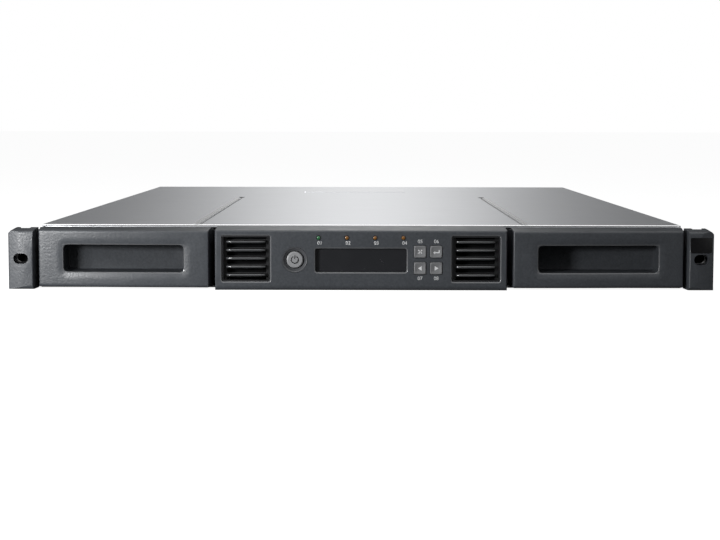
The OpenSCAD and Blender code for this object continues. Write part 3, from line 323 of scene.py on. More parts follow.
PLASTIC_GREY = (0.066, 0.072, 0.081)
FINISHES = {
    "cover_steel": dict(colour=(0.74, 0.755, 0.78), roughness=0.3, metallic=1, grain=(0.5, 0.002),
                        speckle=0.02,
                        mottle=0.01, streak=(1.3, 0.05, "x"), wear=0.02),
    "tray_steel": dict(colour=(0.5, 0.51, 0.52), roughness=0.42, metallic=1, grain=(0.7, 0.004), mottle=0.05,
                       streak=(1.5, 0.05, "y")),
    "ear_steel": dict(colour=(0.03, 0.032, 0.036), roughness=0.55, grain=(0.5, 0.02), speckle=0.1),
    "front_mould": dict(colour=PLASTIC_GREY, roughness=0.34, grain=(1.5, 0.1), speckle=0.12, mottle=0.05),
    "grille_mould": dict(colour=(0.012, 0.0125, 0.014), roughness=0.38, grain=(0.4, 0.004), speckle=0.06),
    "badge_gloss": dict(colour=(0.004, 0.004, 0.005), roughness=0.12, grain=(2, 0.001), coat=0.5),
    "window_tint": dict(colour=(0.02, 0.021, 0.024), roughness=0.25, grain=(0.8, 0.001), mottle=0.03),
    "display_black": dict(colour=(0.01, 0.01, 0.012), roughness=0.4),
    "lamp_clear": dict(colour=(0.35, 0.2, 0.05), roughness=0.2, grain=(0.8, 0.001)),
    "board_green": dict(colour=(0.01, 0.07, 0.03), roughness=0.3, grain=(0.9, 0.01), speckle=0.1),
    "key_mould": dict(colour=(0.21, 0.213, 0.22), roughness=0.4, grain=(0.3, 0.004), speckle=0.05),
    "button_mould": dict(colour=(0.32, 0.325, 0.335), roughness=0.36, grain=(0.3, 0.003), speckle=0.04),
    "ring_mould": dict(colour=(0.09, 0.093, 0.1), roughness=0.3, grain=(0.4, 0.003), speckle=0.04),
    "mag_tray_mould": dict(colour=(0.016, 0.017, 0.019), roughness=0.42, grain=(0.5, 0.008), speckle=0.08),
    "cartridge_mould": dict(colour=(0.012, 0.013, 0.017), roughness=0.45, grain=(0.4, 0.02), speckle=0.1),
    "guide_mould": dict(colour=(0.62, 0.62, 0.6), roughness=0.45, grain=(0.6, 0.005)),
    "rod_steel": dict(colour=(0.7, 0.71, 0.72), roughness=0.14, metallic=1, streak=(0.6, 0.04, "x")),
    "bracket_alloy": dict(colour=(0.6, 0.61, 0.62), roughness=0.38, metallic=1, streak=(0.8, 0.06, "x")),
    "gear_brass": dict(colour=(0.65, 0.47, 0.18), roughness=0.3, metallic=1, streak=(0.5, 0.06, "z")),
    "rack_steel": dict(colour=(0.42, 0.43, 0.44), roughness=0.35, metallic=1, streak=(0.6, 0.06, "y")),
    "motor_black": dict(colour=(0.02, 0.021, 0.023), roughness=0.4, grain=(0.5, 0.006), speckle=0.1),
    "reader_mould": dict(colour=(0.012, 0.012, 0.014), roughness=0.35),
    "table_alloy": dict(colour=(0.58, 0.59, 0.6), roughness=0.4, metallic=1, streak=(1.0, 0.05, "y")),
    "drive_steel": dict(colour=(0.5, 0.51, 0.52), roughness=0.4, metallic=1, mottle=0.05,
                        streak=(1.2, 0.04, "y")),
    "drive_mould": dict(colour=(0.014, 0.015, 0.017), roughness=0.42, grain=(0.5, 0.01), speckle=0.08),
    "supply_steel": dict(colour=(0.52, 0.53, 0.54), roughness=0.4, metallic=1, mottle=0.05),
    "inlet_mould": dict(colour=(0.01, 0.01, 0.011), roughness=0.38, grain=(0.5, 0.006)),
    "port_steel": dict(colour=(0.6, 0.61, 0.62), roughness=0.28, metallic=1, streak=(0.6, 0.03, "x")),
    "fan_mould": dict(colour=(0.014, 0.015, 0.017), roughness=0.42, grain=(0.5, 0.006)),
    "screw_steel": dict(colour=(0.6, 0.61, 0.62), roughness=0.25, metallic=1, grain=(0.4, 0.002)),
    "screw_black": dict(colour=(0.02, 0.02, 0.022), roughness=0.35, metallic=0.6, grain=(0.4, 0.002)),
    "lamp_green": dict(colour=(0.03, 0.16, 0.06), roughness=0.2, grain=(0.8, 0.001), coat=0.4),
    "lamp_amber": dict(colour=(0.26, 0.11, 0.02), roughness=0.2, grain=(0.8, 0.001), coat=0.4),
    # Near black: painted shade behind the vents and rack slots and at the bead ends.
    "black_shade_painted": dict(colour=(0.004, 0.004, 0.0045), roughness=0.9, grain=(0.5, 0.004), specular=0.1),
    "rib_mould": dict(colour=(0.06, 0.062, 0.066), roughness=0.16, coat=0.6, grain=(0.4, 0.002),
                      speckle=0.04),
    "label_paper": dict(colour=(0.62, 0.62, 0.6), roughness=0.7, grain=(0.3, 0.002), speckle=0.03),
    # A lighter, glossier copy of the front plastic: a painted highlight on pocket edges and opening rims.
    "rim_highlight_painted": dict(colour=(0.13, 0.134, 0.142), roughness=0.2, grain=(0.6, 0.003), speckle=0.03,
                      coat=0.6),
    # A lighter, glossier copy of the cover steel: a painted highlight on the cover's hem and bead crowns.
    "steel_highlight_painted": dict(colour=(0.8, 0.805, 0.81), roughness=0.24, metallic=1, grain=(0.5, 0.001),
                      speckle=0.02),
    "patch_steel": dict(colour=(0.78, 0.79, 0.81), roughness=0.32, metallic=1, grain=(0.5, 0.001),
                        speckle=0.02),
    # A darker, duller copy of the front plastic: painted shade down inside the finger pockets.
    "pocket_shade_painted": dict(colour=(0.042, 0.046, 0.052), roughness=0.6, grain=(1.3, 0.14), speckle=0.12,
                         specular=0.2),
    "mark_white": dict(colour=(0.88, 0.89, 0.9), roughness=0.5, grain=(0.3, 0.001), speckle=0.03),
}


RECORD = frame["record"]
SLOT_OF = {part["node"]: part["material_slot"] for part in RECORD["subparts"]}
BODY_OF = {node: body for body, nodes in RECORD["behaviour"]["bodies"].items() for node in nodes}


def dress(piece, slot):
    """Gives a piece one finish all over."""
    piece.data.materials.clear()
    piece.data.materials.append(material_for(slot))


def add_piece(name, mesh, node, slot=None, replace=True):
    """Puts a finished mesh in the scene on the body of a frame node, which it replaces if asked."""
    piece = bpy.data.objects.new(name, mesh)
    scene.collection.objects.link(piece)
    slot = slot or SLOT_OF[node]
    dress(piece, slot)
    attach(piece, BODY_OF[node])
    if replace:
        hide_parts(node)
    return piece


def add_detail(name, mesh, node, slot):
    """Puts a mesh in the scene beside a frame node, on the same body."""
    return add_piece(name, mesh, node, slot, replace=False)


def clean_copy(node):
    """A merged copy of a frame node's mesh, its flat faces joined into single ones."""
    mesh = NODES[node].data.copy()
    build = bmesh.new()
    build.from_mesh(mesh)
    bmesh.ops.remove_doubles(build, verts=build.verts, dist=0.002 * MM)
    bmesh.ops.dissolve_limit(build, angle_limit=math.radians(0.6), verts=build.verts, edges=build.edges,
                             delimit={"NORMAL"})
    build.to_mesh(mesh)
    build.free()
    return mesh


def softened(node, width=0.4):
    """Replaces a frame node by a copy whose sharp edges are rounded."""
    piece = add_piece(node + "_shell", clean_copy(node), node)
    bevel = piece.modifiers.new("rounded edges", "BEVEL")
    bevel.width = width * MM
    bevel.segments = 3
    bevel.limit_method = "ANGLE"
    bevel.angle_limit = math.radians(28)
    piece.data.polygons.foreach_set("use_smooth", [True] * len(piece.data.polygons))
    smooth = piece.modifiers.new("smooth by angle", "WEIGHTED_NORMAL")
    smooth.keep_sharp = True


def dress_frame():
    """Every frame node gets its slot's finish."""
    for node, slot in SLOT_OF.items():
        dress(NODES[node], slot)


# ---------------------------------------------------------------- shapes of the front

def rounded_ring(width, height, radius, across=1, up=1, corner=5):
    """Points (x, z, angle of the outward direction) round a rounded rectangle about the origin."""
    half_w, half_h = width / 2 - radius, height / 2 - radius
    middles = [(half_w, -half_h, -90), (half_w, half_h, 0), (-half_w, half_h, 90), (-half_w, -half_h, 180)]
    points = []
    for index, (x, z, start) in enumerate(middles):
        for step in range(corner + 1):
            angle = math.radians(start + 90 * step / corner)
            points.append((x + radius * math.cos(angle), z + radius * math.sin(angle), angle))
        next_x, next_z, _ = middles[(index + 1) % 4]
        turn = math.radians(start + 90)
        end = (next_x + radius * math.cos(turn), next_z + radius * math.sin(turn))
        last, count = points[-1], (up if index % 2 == 0 else across)
        for step in range(1, count):
            share = step / count
            points.append((last[0] + (end[0] - last[0]) * share, last[1] + (end[1] - last[1]) * share, turn))
    return points


def loft(build, rings, closed=True):
    """Skins rings of equally many points in millimetres, and closes both ends if asked."""
    rows = [[build.verts.new(mm(*point)) for point in ring] for ring in rings]
    for row, following in zip(rows, rows[1:]):
        for i in range(len(row)):
            j = (i + 1) % len(row)
            build.faces.new((row[i], row[j], following[j], following[i]))
    if closed:
        build.faces.new(rows[0])
        build.faces.new(rows[-1])


def made(build, name, sharp=32):
    """The finished mesh: merged, facing outwards, smooth but for its sharp edges."""
    bmesh.ops.remove_doubles(build, verts=build.verts, dist=0.001 * MM)
    bmesh.ops.recalc_face_normals(build, faces=build.faces)
    mesh = bpy.data.meshes.new(name)
    build.to_mesh(mesh)
    build.free()
    mesh.polygons.foreach_set("use_smooth", [True] * len(mesh.polygons))
    mesh.set_sharp_from_angle(angle=math.radians(sharp))
    return mesh


def lofted(name, rings, sharp=32, hollow=False):
    """The mesh skinned over rings, with its ends closed, or joined to each other if it is hollow."""
    build = bmesh.new()
    loft(build, rings + rings[:1] if hollow else rings, not hollow)
    return made(build, name, sharp)


def quarter(steps, first=0):
    """Angles in even steps through a quarter turn, without the first few if asked."""
    return [math.pi / 2 * k / steps for k in range(first, steps + 1)]


def full_turn(count):
    """Angles in even steps round a circle."""
    return [2 * math.pi * k / count for k in range(count)]


def turned(name, x, z, profile, segments, sharp, hollow=False):
    """A shape turned about an axis along Y: the profile is (radius, y) in millimetres."""
    rings = []
    for radius, y in profile:
        radius = max(radius, 0.02)
        rings.append([(x + radius * math.cos(a), y, z + radius * math.sin(a)) for a in full_turn(segments)])
    return lofted(name, rings, sharp, hollow)


def magazine_front(side):
    """A magazine's front moulding: a bowed face, round edges, and a finger pocket in a shallow dish.

    Returns the mesh and each face's finish: 1 on the pocket's rolled edge, in a lighter, glossier plastic
    that is a painted highlight; 2 down inside it, in a darker plastic that is painted shade; 0 elsewhere."""
    lo, hi = (corner / MM for corner in map(Vector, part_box("right_magazine_front")))
    draft, crest, bow, rim, dish, dish_w = 2.0, 1.8, 5.4, 0.8, 0.5, 4.4
    pocket_w, pocket_h, pocket_r, pocket_depth, undercut = 82.7, 18.6, 3.0, 22.0, 2.6
    edge_side, edge_bottom, edge_top = 0.8, 2.0, 1.0
    face_in, face_out, face_top = lo.x + draft, hi.x, hi.z - crest
    pocket_x, pocket_z = (face_in + face_out) / 2, 21.5
    counts = dict(across=14, up=3, corner=6)

    def face(x):
        return FRONT + bow * ((x - face_in) / (face_out - face_in)) ** 2

    def pocket(grow, radius, depth, flat=False, lift=0.0):
        """A ring round the pocket at a depth behind the face, or behind its front if flat."""
        ring = rounded_ring(pocket_w + 2 * grow, pocket_h + 2 * grow, radius, **counts)
        return [(pocket_x + x, FRONT + depth if flat else face(pocket_x + x) + depth,
                 pocket_z + z + (lift if z > 0 else 0)) for x, z, _ in ring]

    def outline(left, right, bottom, top, radius, depth):
        """A ring round the whole front, whose y follows from x and the outward direction."""
        ring = rounded_ring(right - left, top - bottom, radius, **counts)
        middle, level = (left + right) / 2, (bottom + top) / 2
        return [(middle + x, depth(middle + x, angle), level + z) for x, z, angle in ring]

    def edge(turn):
        """The face's rounded edge: wide below, small above and at the sides."""
        out, back = 1 - math.sin(turn), 1 - math.cos(turn)

        def depth(x, angle):
            upright = edge_top if math.sin(angle) > 0 else edge_bottom
            return face(x) + back * (edge_side * math.cos(angle) ** 2 + upright * math.sin(angle) ** 2)

        return outline(face_in + edge_side * out, face_out - edge_side * out, lo.z + edge_bottom * out,
                       face_top - edge_top * out, 0.7, depth)

    # The pocket's floor and walls, its rolled edge, the dish round it, then the face out to its edge
    rings = [pocket(grow, radius, depth, True, undercut) for grow, radius, depth in
             ((-2.4, 1.8, pocket_depth), (-0.8, 2.4, pocket_depth - 0.4), (-0.3, 2.8, pocket_depth - 2),
              (0, pocket_r, 9.4))]
    rings.append(pocket(0, pocket_r, 9, True))
    for turn in quarter(5):
        rings.append(pocket(rim * (1 - math.cos(turn)), pocket_r, dish + rim * (1 - math.sin(turn))))
    for step in range(1, 7):
        share = step / 6
        rings.append(pocket(rim + dish_w * share, pocket_r + dish_w * share, dish * (1 - share) ** 1.7))
    dish_edge, border = rings[-1], edge(0)
    for share in (0.35, 0.7):
        between = [(a[0] + (b[0] - a[0]) * share, a[2] + (b[2] - a[2]) * share)
                   for a, b in zip(dish_edge, border)]
        rings.append([(x, face(x), z) for x, z in between])
    rings += [edge(turn) for turn in quarter(5)]
    for y, top in ((FRONT + 12, hi.z), (FRONT + 15, hi.z - 1), (hi.y, hi.z - 2.4)):
        inner = face_in - draft * (y - FRONT) / (hi.y - FRONT)
        rings.append(outline(inner, face_out, lo.z, top, 0.5, lambda x, angle, y=y: y))
    mesh = lofted("magazine_front", [[(side * x, y, z) for x, y, z in ring] for ring in rings], 38)

    # Finish 1 paints a highlight on the pocket's edge; finish 2 paints shade down inside it.
    def finish_at(place):
        past_x = abs(place.x * side - pocket_x) - pocket_w / 2
        past_z = abs(place.z - pocket_z) - pocket_h / 2
        depth = place.y - face(place.x * side)
        if -0.02 < max(past_x, past_z) < rim + 0.02 and depth < dish + rim:
            return 1
        deep = depth > dish + rim and place.y < FRONT + pocket_depth + 0.1
        return 2 if deep and past_x < 0.1 and past_z < 3 else 0

    return mesh, [finish_at(polygon.center / MM) for polygon in mesh.polygons]


def key_dish(reach):
    """How deep a key's face is at a distance from its middle."""
    return 0.55 * (1 - min(1, reach / 3.5) ** 2)


KEY_TOP = FRONT - 0.5


def key_cap(x, z):
    """A square key with a rounded rim and a dished face."""
    side, roll = 8.3, 0.6
    sizes = [(side, 4.4), (side, roll)]
    sizes += [(side - 2 * roll * (1 - math.cos(a)), roll * (1 - math.sin(a))) for a in quarter(4, 1)]
    sizes += [(2 * reach, key_dish(reach)) for reach in (3.4, 3.1, 2.7, 2.2, 1.6, 1.0, 0.4)]
    rings = []
    for size, depth in sizes:
        ring = rounded_ring(size, size, min(size * 0.3, 1.0 + (side - size) * 0.3), 1, 1, 5)
        rings.append([(x + u, KEY_TOP + depth, z + v) for u, v, _ in ring])
    return lofted("key_cap", rings, 40)


def power_cap(x, z, radius):
    """The round button: finely turned face and a rolled edge."""
    top, groove = FRONT + 0.3, 0.5
    profile = [(radius, top + 5)]
    profile += [(radius - 1 + math.cos(a), top + 1 - math.sin(a)) for a in quarter(4)]
    reach = radius - 1.15
    while reach > 2.4:
        profile += [(reach, top), (reach - groove * 0.5, top + 0.06)]
        reach -= groove
    profile += [(2.3, top), (0, top)]
    return turned("power_cap", x, z, profile, 72, 60)


def dished_ring(x, z, outer, inner):
    """The ring round the button, hollowed like a saucer."""
    back, lip = FRONT + 3.6, outer - 0.7
    profile = [(outer, back), (outer, FRONT + 0.3), (outer - 0.15, FRONT + 0.1), (outer - 0.6, FRONT + 0.1)]
    for step in range(7):
        share = step / 6
        profile.append((lip - (lip - inner) * share, FRONT + 0.15 + 1.9 * math.sin(share * 1.35)))
    profile.append((inner, back))
    return turned("dished_ring", x, z, profile, 72, 40, hollow=True)


def lamp_dome(x, z):
    """A status lamp's low dome."""
    radius, rise = 1.25, 0.5
    profile = [(radius, FRONT + 3), (radius, FRONT)]
    profile += [(radius * math.cos(a), FRONT - rise * math.sin(a)) for a in (0.3, 0.6, 0.9, 1.2, 1.5)]
    return turned("lamp_dome", x, z, profile, 32, 60)


def lamp_surround(x, z):
    """The thin dark ring round a status lamp."""
    profile = [(1.3, FRONT + 0.4), (1.3, FRONT - 0.1), (1.75, FRONT - 0.1), (1.8, FRONT + 0.4)]
    return turned("lamp_surround", x, z, profile, 32, 40, hollow=True)


def printed(name, outlines, node, depth, slot="mark_white"):
    """Flat print: each outline is (x, z) in millimetres, and depth gives its y at a point."""
    build = bmesh.new()
    for outline in outlines:
        face = build.faces.new([build.verts.new(mm(x, depth(x, z), z)) for x, z in outline])
        face.normal_update()
        if face.normal.y > 0:
            face.normal_flip()
    mesh = bpy.data.meshes.new(name)
    build.to_mesh(mesh)
    build.free()
    add_detail(name, mesh, node, slot)


def bar(x0, z0, x1, z1, width):
    """The outline of a straight stroke."""
    along = Vector((x1 - x0, z1 - z0)).normalized() * width / 2
    return [(x0 - along.y, z0 + along.x), (x1 - along.y, z1 + along.x), (x1 + along.y, z1 - along.x),
            (x0 + along.y, z0 - along.x)]


def numeral(number, x, z):
    """A plain two-digit number printed on the panel."""
    text = f"{number:02d}"
    curve = bpy.data.curves.new("numeral", "FONT")
    curve.body, curve.size, curve.align_x, curve.align_y = text, 3.4 * MM, "CENTER", "CENTER"
    written = bpy.data.objects.new("numeral", curve)
    scene.collection.objects.link(written)
    mesh = bpy.data.meshes.new_from_object(written.evaluated_get(bpy.context.evaluated_depsgraph_get()))
    bpy.data.objects.remove(written)
    mesh.transform(Matrix.Translation(mm(x, FRONT - 0.03, z)) @ Matrix.Rotation(math.pi / 2, 4, "X"))
    add_detail("numeral_" + text, mesh, "front_panel", "mark_white")


VENT_X, VENT_Z = 78.6, 21.7


def vent_rib(x, z, length, radius, tip, root):
    """One proud louvre: a long capsule on a flat web."""
    build = bmesh.new()
    # Distance from the end, share of the radius, and how far the nose slopes back there
    end = [(0, 0.02, 1.7), (0.15, 0.45, 1.5), (0.5, 0.8, 1.25), (1.0, 0.95, 1.0), (3.6, 1, 0.1), (4.4, 1, 0)]
    stations = [(x - length / 2 + inset, share, back) for inset, share, back in end]
    stations += [(x + length / 2 - inset, share, back) for inset, share, back in end[::-1]]
    rings = [[(at, tip + back + radius - share * radius * math.cos(a), z + share * radius * math.sin(a))
              for a in full_turn(16)] for at, share, back in stations]
    loft(build, rings)
    web = rounded_ring(length, radius * 1.2, radius * 0.55)
    loft(build, [[(x + u, y, z + v) for u, v, _ in web] for y in (tip + radius + 1.8, root)])
    return made(build, "vent_rib", 50)


def vents():
    """Each vent's louvres, with a near-black sheet behind them: painted shade inside the vent."""
    pitch, length, radius = 5.7, 27.6, 0.9
    tip, root, shade_depths = FRONT + 1.0, FRONT + 8.6, (FRONT + 10.65, FRONT + 10.95)
    ring = rounded_ring(30.4, 28.6, 1)
    for _, name in SIDES:
        node = name + "_vent_grille"
        middle = centre(node) / MM
        sheet = lofted("vent_shade_sheet", [[(middle.x + x, y, VENT_Z + z) for x, z, _ in ring] for y in shade_depths])
        # A near-black sheet: painted shade inside the vent.
        add_detail(name + "_vent_shade_sheet", sheet, node, "black_shade_painted")
        for k in range(5):
            rib = vent_rib(middle.x, VENT_Z + (k - 2) * pitch, length, radius, tip, root)
            add_detail(f"{name}_vent_rib_{k + 1}", rib, node, "rib_mould")


def opening_rim(name, x, z, width, height, radius, grow=0.9):
    """The rolled edge round an opening in the operator panel, in a lighter, glossier plastic: a painted
    highlight on the edge.
    """
    sizes = [(-0.06, 1.6)]
    sizes += [(grow * (1 - math.cos(turn)), grow * (1 - math.sin(turn)) - 0.03) for turn in quarter(5)]
    sizes.append((grow, 0.6))
    rings = [[(x + u, FRONT + depth, z + v) for u, v, _ in
              rounded_ring(width + 2 * size, height + 2 * size, radius + size)] for size, depth in sizes]
    add_detail(name, lofted(name, rings, 60, hollow=True), "front_panel", "rim_highlight_painted")


def opening_rims():
    """The rims of both vents and of the display."""
    for side, name in SIDES:
        opening_rim(name + "_vent_rim", side * VENT_X, VENT_Z, 32.9, 31.2, 1)
    opening_rim("display_rim", 0, 20.6, 62.2, 16, 1.2)


def cover_hem():
    """The cover's front edge, rolled over the sheet, in a lighter, glossier steel: a painted highlight along
    it.
    """
    middle_y, middle_z, radius, half, parts = 11.55, 42.55, 0.75, 223.3, 12
    ring = [(radius * math.cos(a), radius * math.sin(a)) for a in full_turn(20)]
    stations = [half * (2 * k / parts - 1) for k in range(parts + 1)]
    hem = lofted("cover_hem", [[(x, middle_y + u, middle_z + v) for u, v in ring] for x in stations])
    add_detail("cover_hem", hem, "top_cover", "steel_highlight_painted")


def cover_plate(name, outline, low, high, slot):
    """A thin plate on the cover: its outline is (x, y), and it stands from low to high."""
    plate = lofted(name, [[(x, y, z) for x, y in outline] for z in (low, high)], 30)
    add_detail(name, plate, "top_cover", slot)


def cover_beads():
    """Each bead as thin plates: its crown in a lighter steel, a painted highlight; a black strip along its
    inner side and a black wedge at its end, both painted shade.
    """
    bead_x, crown_w, crease_w, start, length, wedge_l = 115.5, 4.2, 1.0, 13.0, 418.0, 26
    low, crown_top, crease_top, wedge_top = 42.9, 43.49, 43.04, 43.06
    end = start + length
    for side, name in SIDES:
        middle = side * bead_x
        inner = middle - side * (crown_w + crease_w) / 2
        # The crown's lighter steel is a painted highlight; the crease's black strip is painted shade.
        for label, x, width, top, slot in (("crown", middle, crown_w, crown_top, "steel_highlight_painted"),
                                           ("crease_shade", inner, crease_w, crease_top, "display_black")):
            left, right = x - width / 2, x + width / 2
            outline = [(left, start), (right, start), (right, end), (left, end)]
            cover_plate(f"{name}_bead_{label}", outline, low, top, slot)
        tail = end + wedge_l
        wedge = [(inner + side * 1.5, end), (middle + side * 1.6, tail), (inner - side * 1.6, tail)]
        # A black sheet: painted shade at the bead's end.
        cover_plate(name + "_bead_shade_wedge", wedge, low, wedge_top, "black_shade_painted")


def slot_shade_sheets():
    """A near-black sheet behind each rack slot: painted shade inside the slot."""
    slot_x, slot_z, back = 232.55, 21.4, (-5.2, -4.4)
    ring = rounded_ring(9.4, 6.6, 3.2, corner=8)
    for side, name in SIDES:
        rings = [[(side * slot_x + x, y, slot_z + z) for x, z, _ in ring] for y in back]
        # A near-black sheet: painted shade inside the slot.
        add_detail(name + "_slot_shade_sheet", lofted("slot_shade_sheet", rings), name + "_ear_cap", "black_shade_painted")


def magazine_mouldings():
    """Both magazine fronts, with their rolled pocket edges in a lighter plastic, a painted highlight, and
    painted shade down in their pockets.
    """
    for side, name in SIDES:
        node = name + "_magazine_front"
        mesh, finishes = magazine_front(side)
        add_piece(node + "_moulding", mesh, node)
        for slot in ("rim_highlight_painted", "pocket_shade_painted"):
            mesh.materials.append(material_for(slot))
        mesh.polygons.foreach_set("material_index", finishes)


def keys():
    """The four keys, each with its sign on it and its number above or below."""
    grow, number_off = 1.25, 7.0
    signs = {
        "back_key": [bar(-1, -1, 1, 1, 0.6), bar(-1, 1, 1, -1, 0.6)],
        "enter_key": [bar(1.5, 1.1, 1.5, -0.5, 0.5), bar(1.7, -0.5, -0.7, -0.5, 0.5),
                      [(-0.6, -1.4), (-0.6, 0.4), (-1.8, -0.5)]],
        "previous_key": [[(0.9, -1.3), (0.9, 1.3), (-1.2, 0)]],
        "next_key": [[(-0.9, -1.3), (-0.9, 1.3), (1.2, 0)]],
    }
    for number, (node, strokes) in enumerate(signs.items(), 5):
        x, z = centre(node).x / MM, centre(node).z / MM
        add_piece(node + "_cap", key_cap(x, z), node)
        outlines = [[(x + grow * u, z + grow * v) for u, v in stroke] for stroke in strokes]
        printed(node + "_symbol", outlines, node,
                lambda u, v, x=x, z=z: KEY_TOP - 0.03 + key_dish(math.hypot(u - x, v - z)))
        numeral(number, x, z + (number_off if number < 7 else -number_off))


def power_button():
    """The button, its ring and a plain standby sign."""
    x, z = centre("power_button").x / MM, centre("power_button").z / MM
    add_piece("power_button_cap", power_cap(x, z, 5.7), "power_button")
    add_piece("power_ring_dish", dished_ring(x, z, 8.7, 6.2), "power_ring")
    inner, outer = 2.1, 2.75
    arc = [math.radians(a) for a in range(120, 421, 20)]
    strokes = []
    for start, end in zip(arc, arc[1:]):
        corners = ((inner, start), (outer, start), (outer, end), (inner, end))
        strokes.append([(x + r * math.cos(a), z + r * math.sin(a)) for r, a in corners])
    strokes.append(bar(x, z + 0.5, x, z + 3.1, 0.65))
    printed("power_symbol", strokes, "power_button", lambda u, v: FRONT + 0.27, "badge_gloss")


def lamps():
    """Four status lamps, each in its surround with its number below: the first is green."""
    pitch, z = 19.3, 36.1
    for index in range(4):
        x = (index - 1.5) * pitch
        lamp = add_piece(f"lamp_dome_{index + 1}", lamp_dome(x, z), "status_lamps",
                         "lamp_green" if index == 0 else "lamp_amber")
        add_detail(f"lamp_surround_{index + 1}", lamp_surround(x, z), "front_panel", "display_black")
        numeral(index + 1, x + 0.8, z - 3.6)


# ---------------------------------------------------------------- what repeats

def islands(node):
    """The boxes of a frame node's separate solids, in millimetres, as (low, high) pairs."""
    build = bmesh.new()
    build.from_mesh(NODES[node].data)
    bmesh.ops.remove_doubles(build, verts=build.verts, dist=0.002 * MM)
    left, boxes = set(build.verts), []
    while left:
        stack, found = [left.pop()], []
        while stack:
            vertex = stack.pop()
            found.append(vertex.co / MM)
            for link in vertex.link_edges:
                other = link.other_vert(vertex)
                if other in left:
                    left.remove(other)
                    stack.append(other)
        boxes.append(tuple(Vector(pick(co[k] for co in found) for k in range(3)) for pick in (min, max)))
    build.free()
    return sorted(boxes, key=lambda box: tuple(box[0]))


class Grower:
    """A Geometry Nodes tree that puts one shape on every given point."""

    def __init__(self, name, sizes):
        self.tree = bpy.data.node_groups.new(name, "GeometryNodeTree")
        self.sizes = sizes
        face = self.tree.interface
        face.new_socket("Points", in_out="INPUT", socket_type="NodeSocketGeometry")
        for key in sizes:
            face.new_socket(key, in_out="INPUT", socket_type="NodeSocketFloat")
        face.new_socket("Turn", in_out="INPUT", socket_type="NodeSocketVector")
        face.new_socket("Geometry", in_out="OUTPUT", socket_type="NodeSocketGeometry")
        self.given = self.node("NodeGroupInput").outputs

    def node(self, kind, *links, **values):
        """Adds a node, with sockets linked as (input, output) pairs and settings by name."""
        node = self.tree.nodes.new(kind)
        for key, value in values.items():
            setattr(node, key, value)
        for key, source in links:
            if hasattr(source, "node"):
                self.tree.links.new(source, node.inputs[key])
            else:
                node.inputs[key].default_value = source
        return node

    def box(self, x, y, z, up=None):
        """A block with the given sizes, moved up if asked. Each number is a socket."""
        size = self.node("ShaderNodeCombineXYZ", ("X", x), ("Y", y), ("Z", z)).outputs[0]
        block = self.node("GeometryNodeMeshCube", ("Size", size)).outputs["Mesh"]
        if up is None:
            return block
        place = self.node("ShaderNodeCombineXYZ", ("X", 0.0), ("Y", 0.0), ("Z", up)).outputs[0]
        return self.node("GeometryNodeTransform", ("Geometry", block), ("Translation", place)).outputs[0]

    def finish(self, shape, slot):
        """Ends the tree: the shape on every point, made real, in a slot's finish."""
        spread = self.node("GeometryNodeInstanceOnPoints", ("Points", self.given["Points"]),
                           ("Instance", shape), ("Rotation", self.given["Turn"]))
        real = self.node("GeometryNodeRealizeInstances", ("Geometry", spread.outputs[0]))
        dressed = self.node("GeometryNodeSetMaterial", ("Geometry", real.outputs[0]),
                            ("Material", material_for(slot)))
        self.node("NodeGroupOutput", ("Geometry", dressed.outputs[0]))
        self.slot = slot

    def grow(self, name, points, node, turn=(0, 0, 0)):
        """Evaluates the tree on points in millimetres and adds the plain mesh it makes."""
        seeds = bpy.data.meshes.new(name)
        seeds.from_pydata([mm(*point) for point in points], [], [])
        holder = bpy.data.objects.new(name + "_points", seeds)
        scene.collection.objects.link(holder)
        modifier = holder.modifiers.new("grown", "NODES")
        modifier.node_group = self.tree
        values = dict({key: value * MM for key, value in self.sizes.items()}, Turn=turn)
        for item in self.tree.interface.items_tree:
            if item.in_out == "INPUT" and item.name in values:
                modifier[item.identifier] = values[item.name]
        graph_now = bpy.context.evaluated_depsgraph_get()
        mesh = bpy.data.meshes.new_from_object(holder.evaluated_get(graph_now))
        bpy.data.objects.remove(holder)
        mesh.name = name
        add_detail(name, mesh, node, self.slot)


def screw_grower(name, slot, diameter, height):
    """Cross-recessed screw heads, their crowns along +Z before they are turned."""
    grower = Grower(name, {"Head Diameter": diameter, "Head Height": height,
                           "Recess Length": diameter * 0.58, "Recess Width": diameter * 0.14,
                           "Recess Depth": height * 1.2})
    given = grower.given

    def half(size):
        return grower.node("ShaderNodeMath", (0, given[size]), (1, 0.5), operation="MULTIPLY").outputs[0]

    head = grower.node("GeometryNodeMeshCylinder", ("Vertices", 28), ("Radius", half("Head Diameter")),
                       ("Depth", given["Head Height"]))
    up = half("Head Height")
    one = grower.box(given["Recess Length"], given["Recess Width"], given["Recess Depth"], up)
    other = grower.box(given["Recess Width"], given["Recess Length"], given["Recess Depth"], up)
    cut = grower.node("GeometryNodeMeshBoolean", ("Mesh 1", head.outputs["Mesh"]), operation="DIFFERENCE")
    grower.tree.links.new(one, cut.inputs["Mesh 2"])
    grower.tree.links.new(other, cut.inputs["Mesh 2"])
    grower.finish(cut.outputs["Mesh"], slot)
    return grower


def block_grower(name, slot, width, depth, height):
    """Plain small blocks, such as ribs and contacts."""
    grower = Grower(name, {"Width": width, "Depth": depth, "Height": height})
    grower.finish(grower.box(*(grower.given[key] for key in ("Width", "Depth", "Height"))), slot)
    return grower


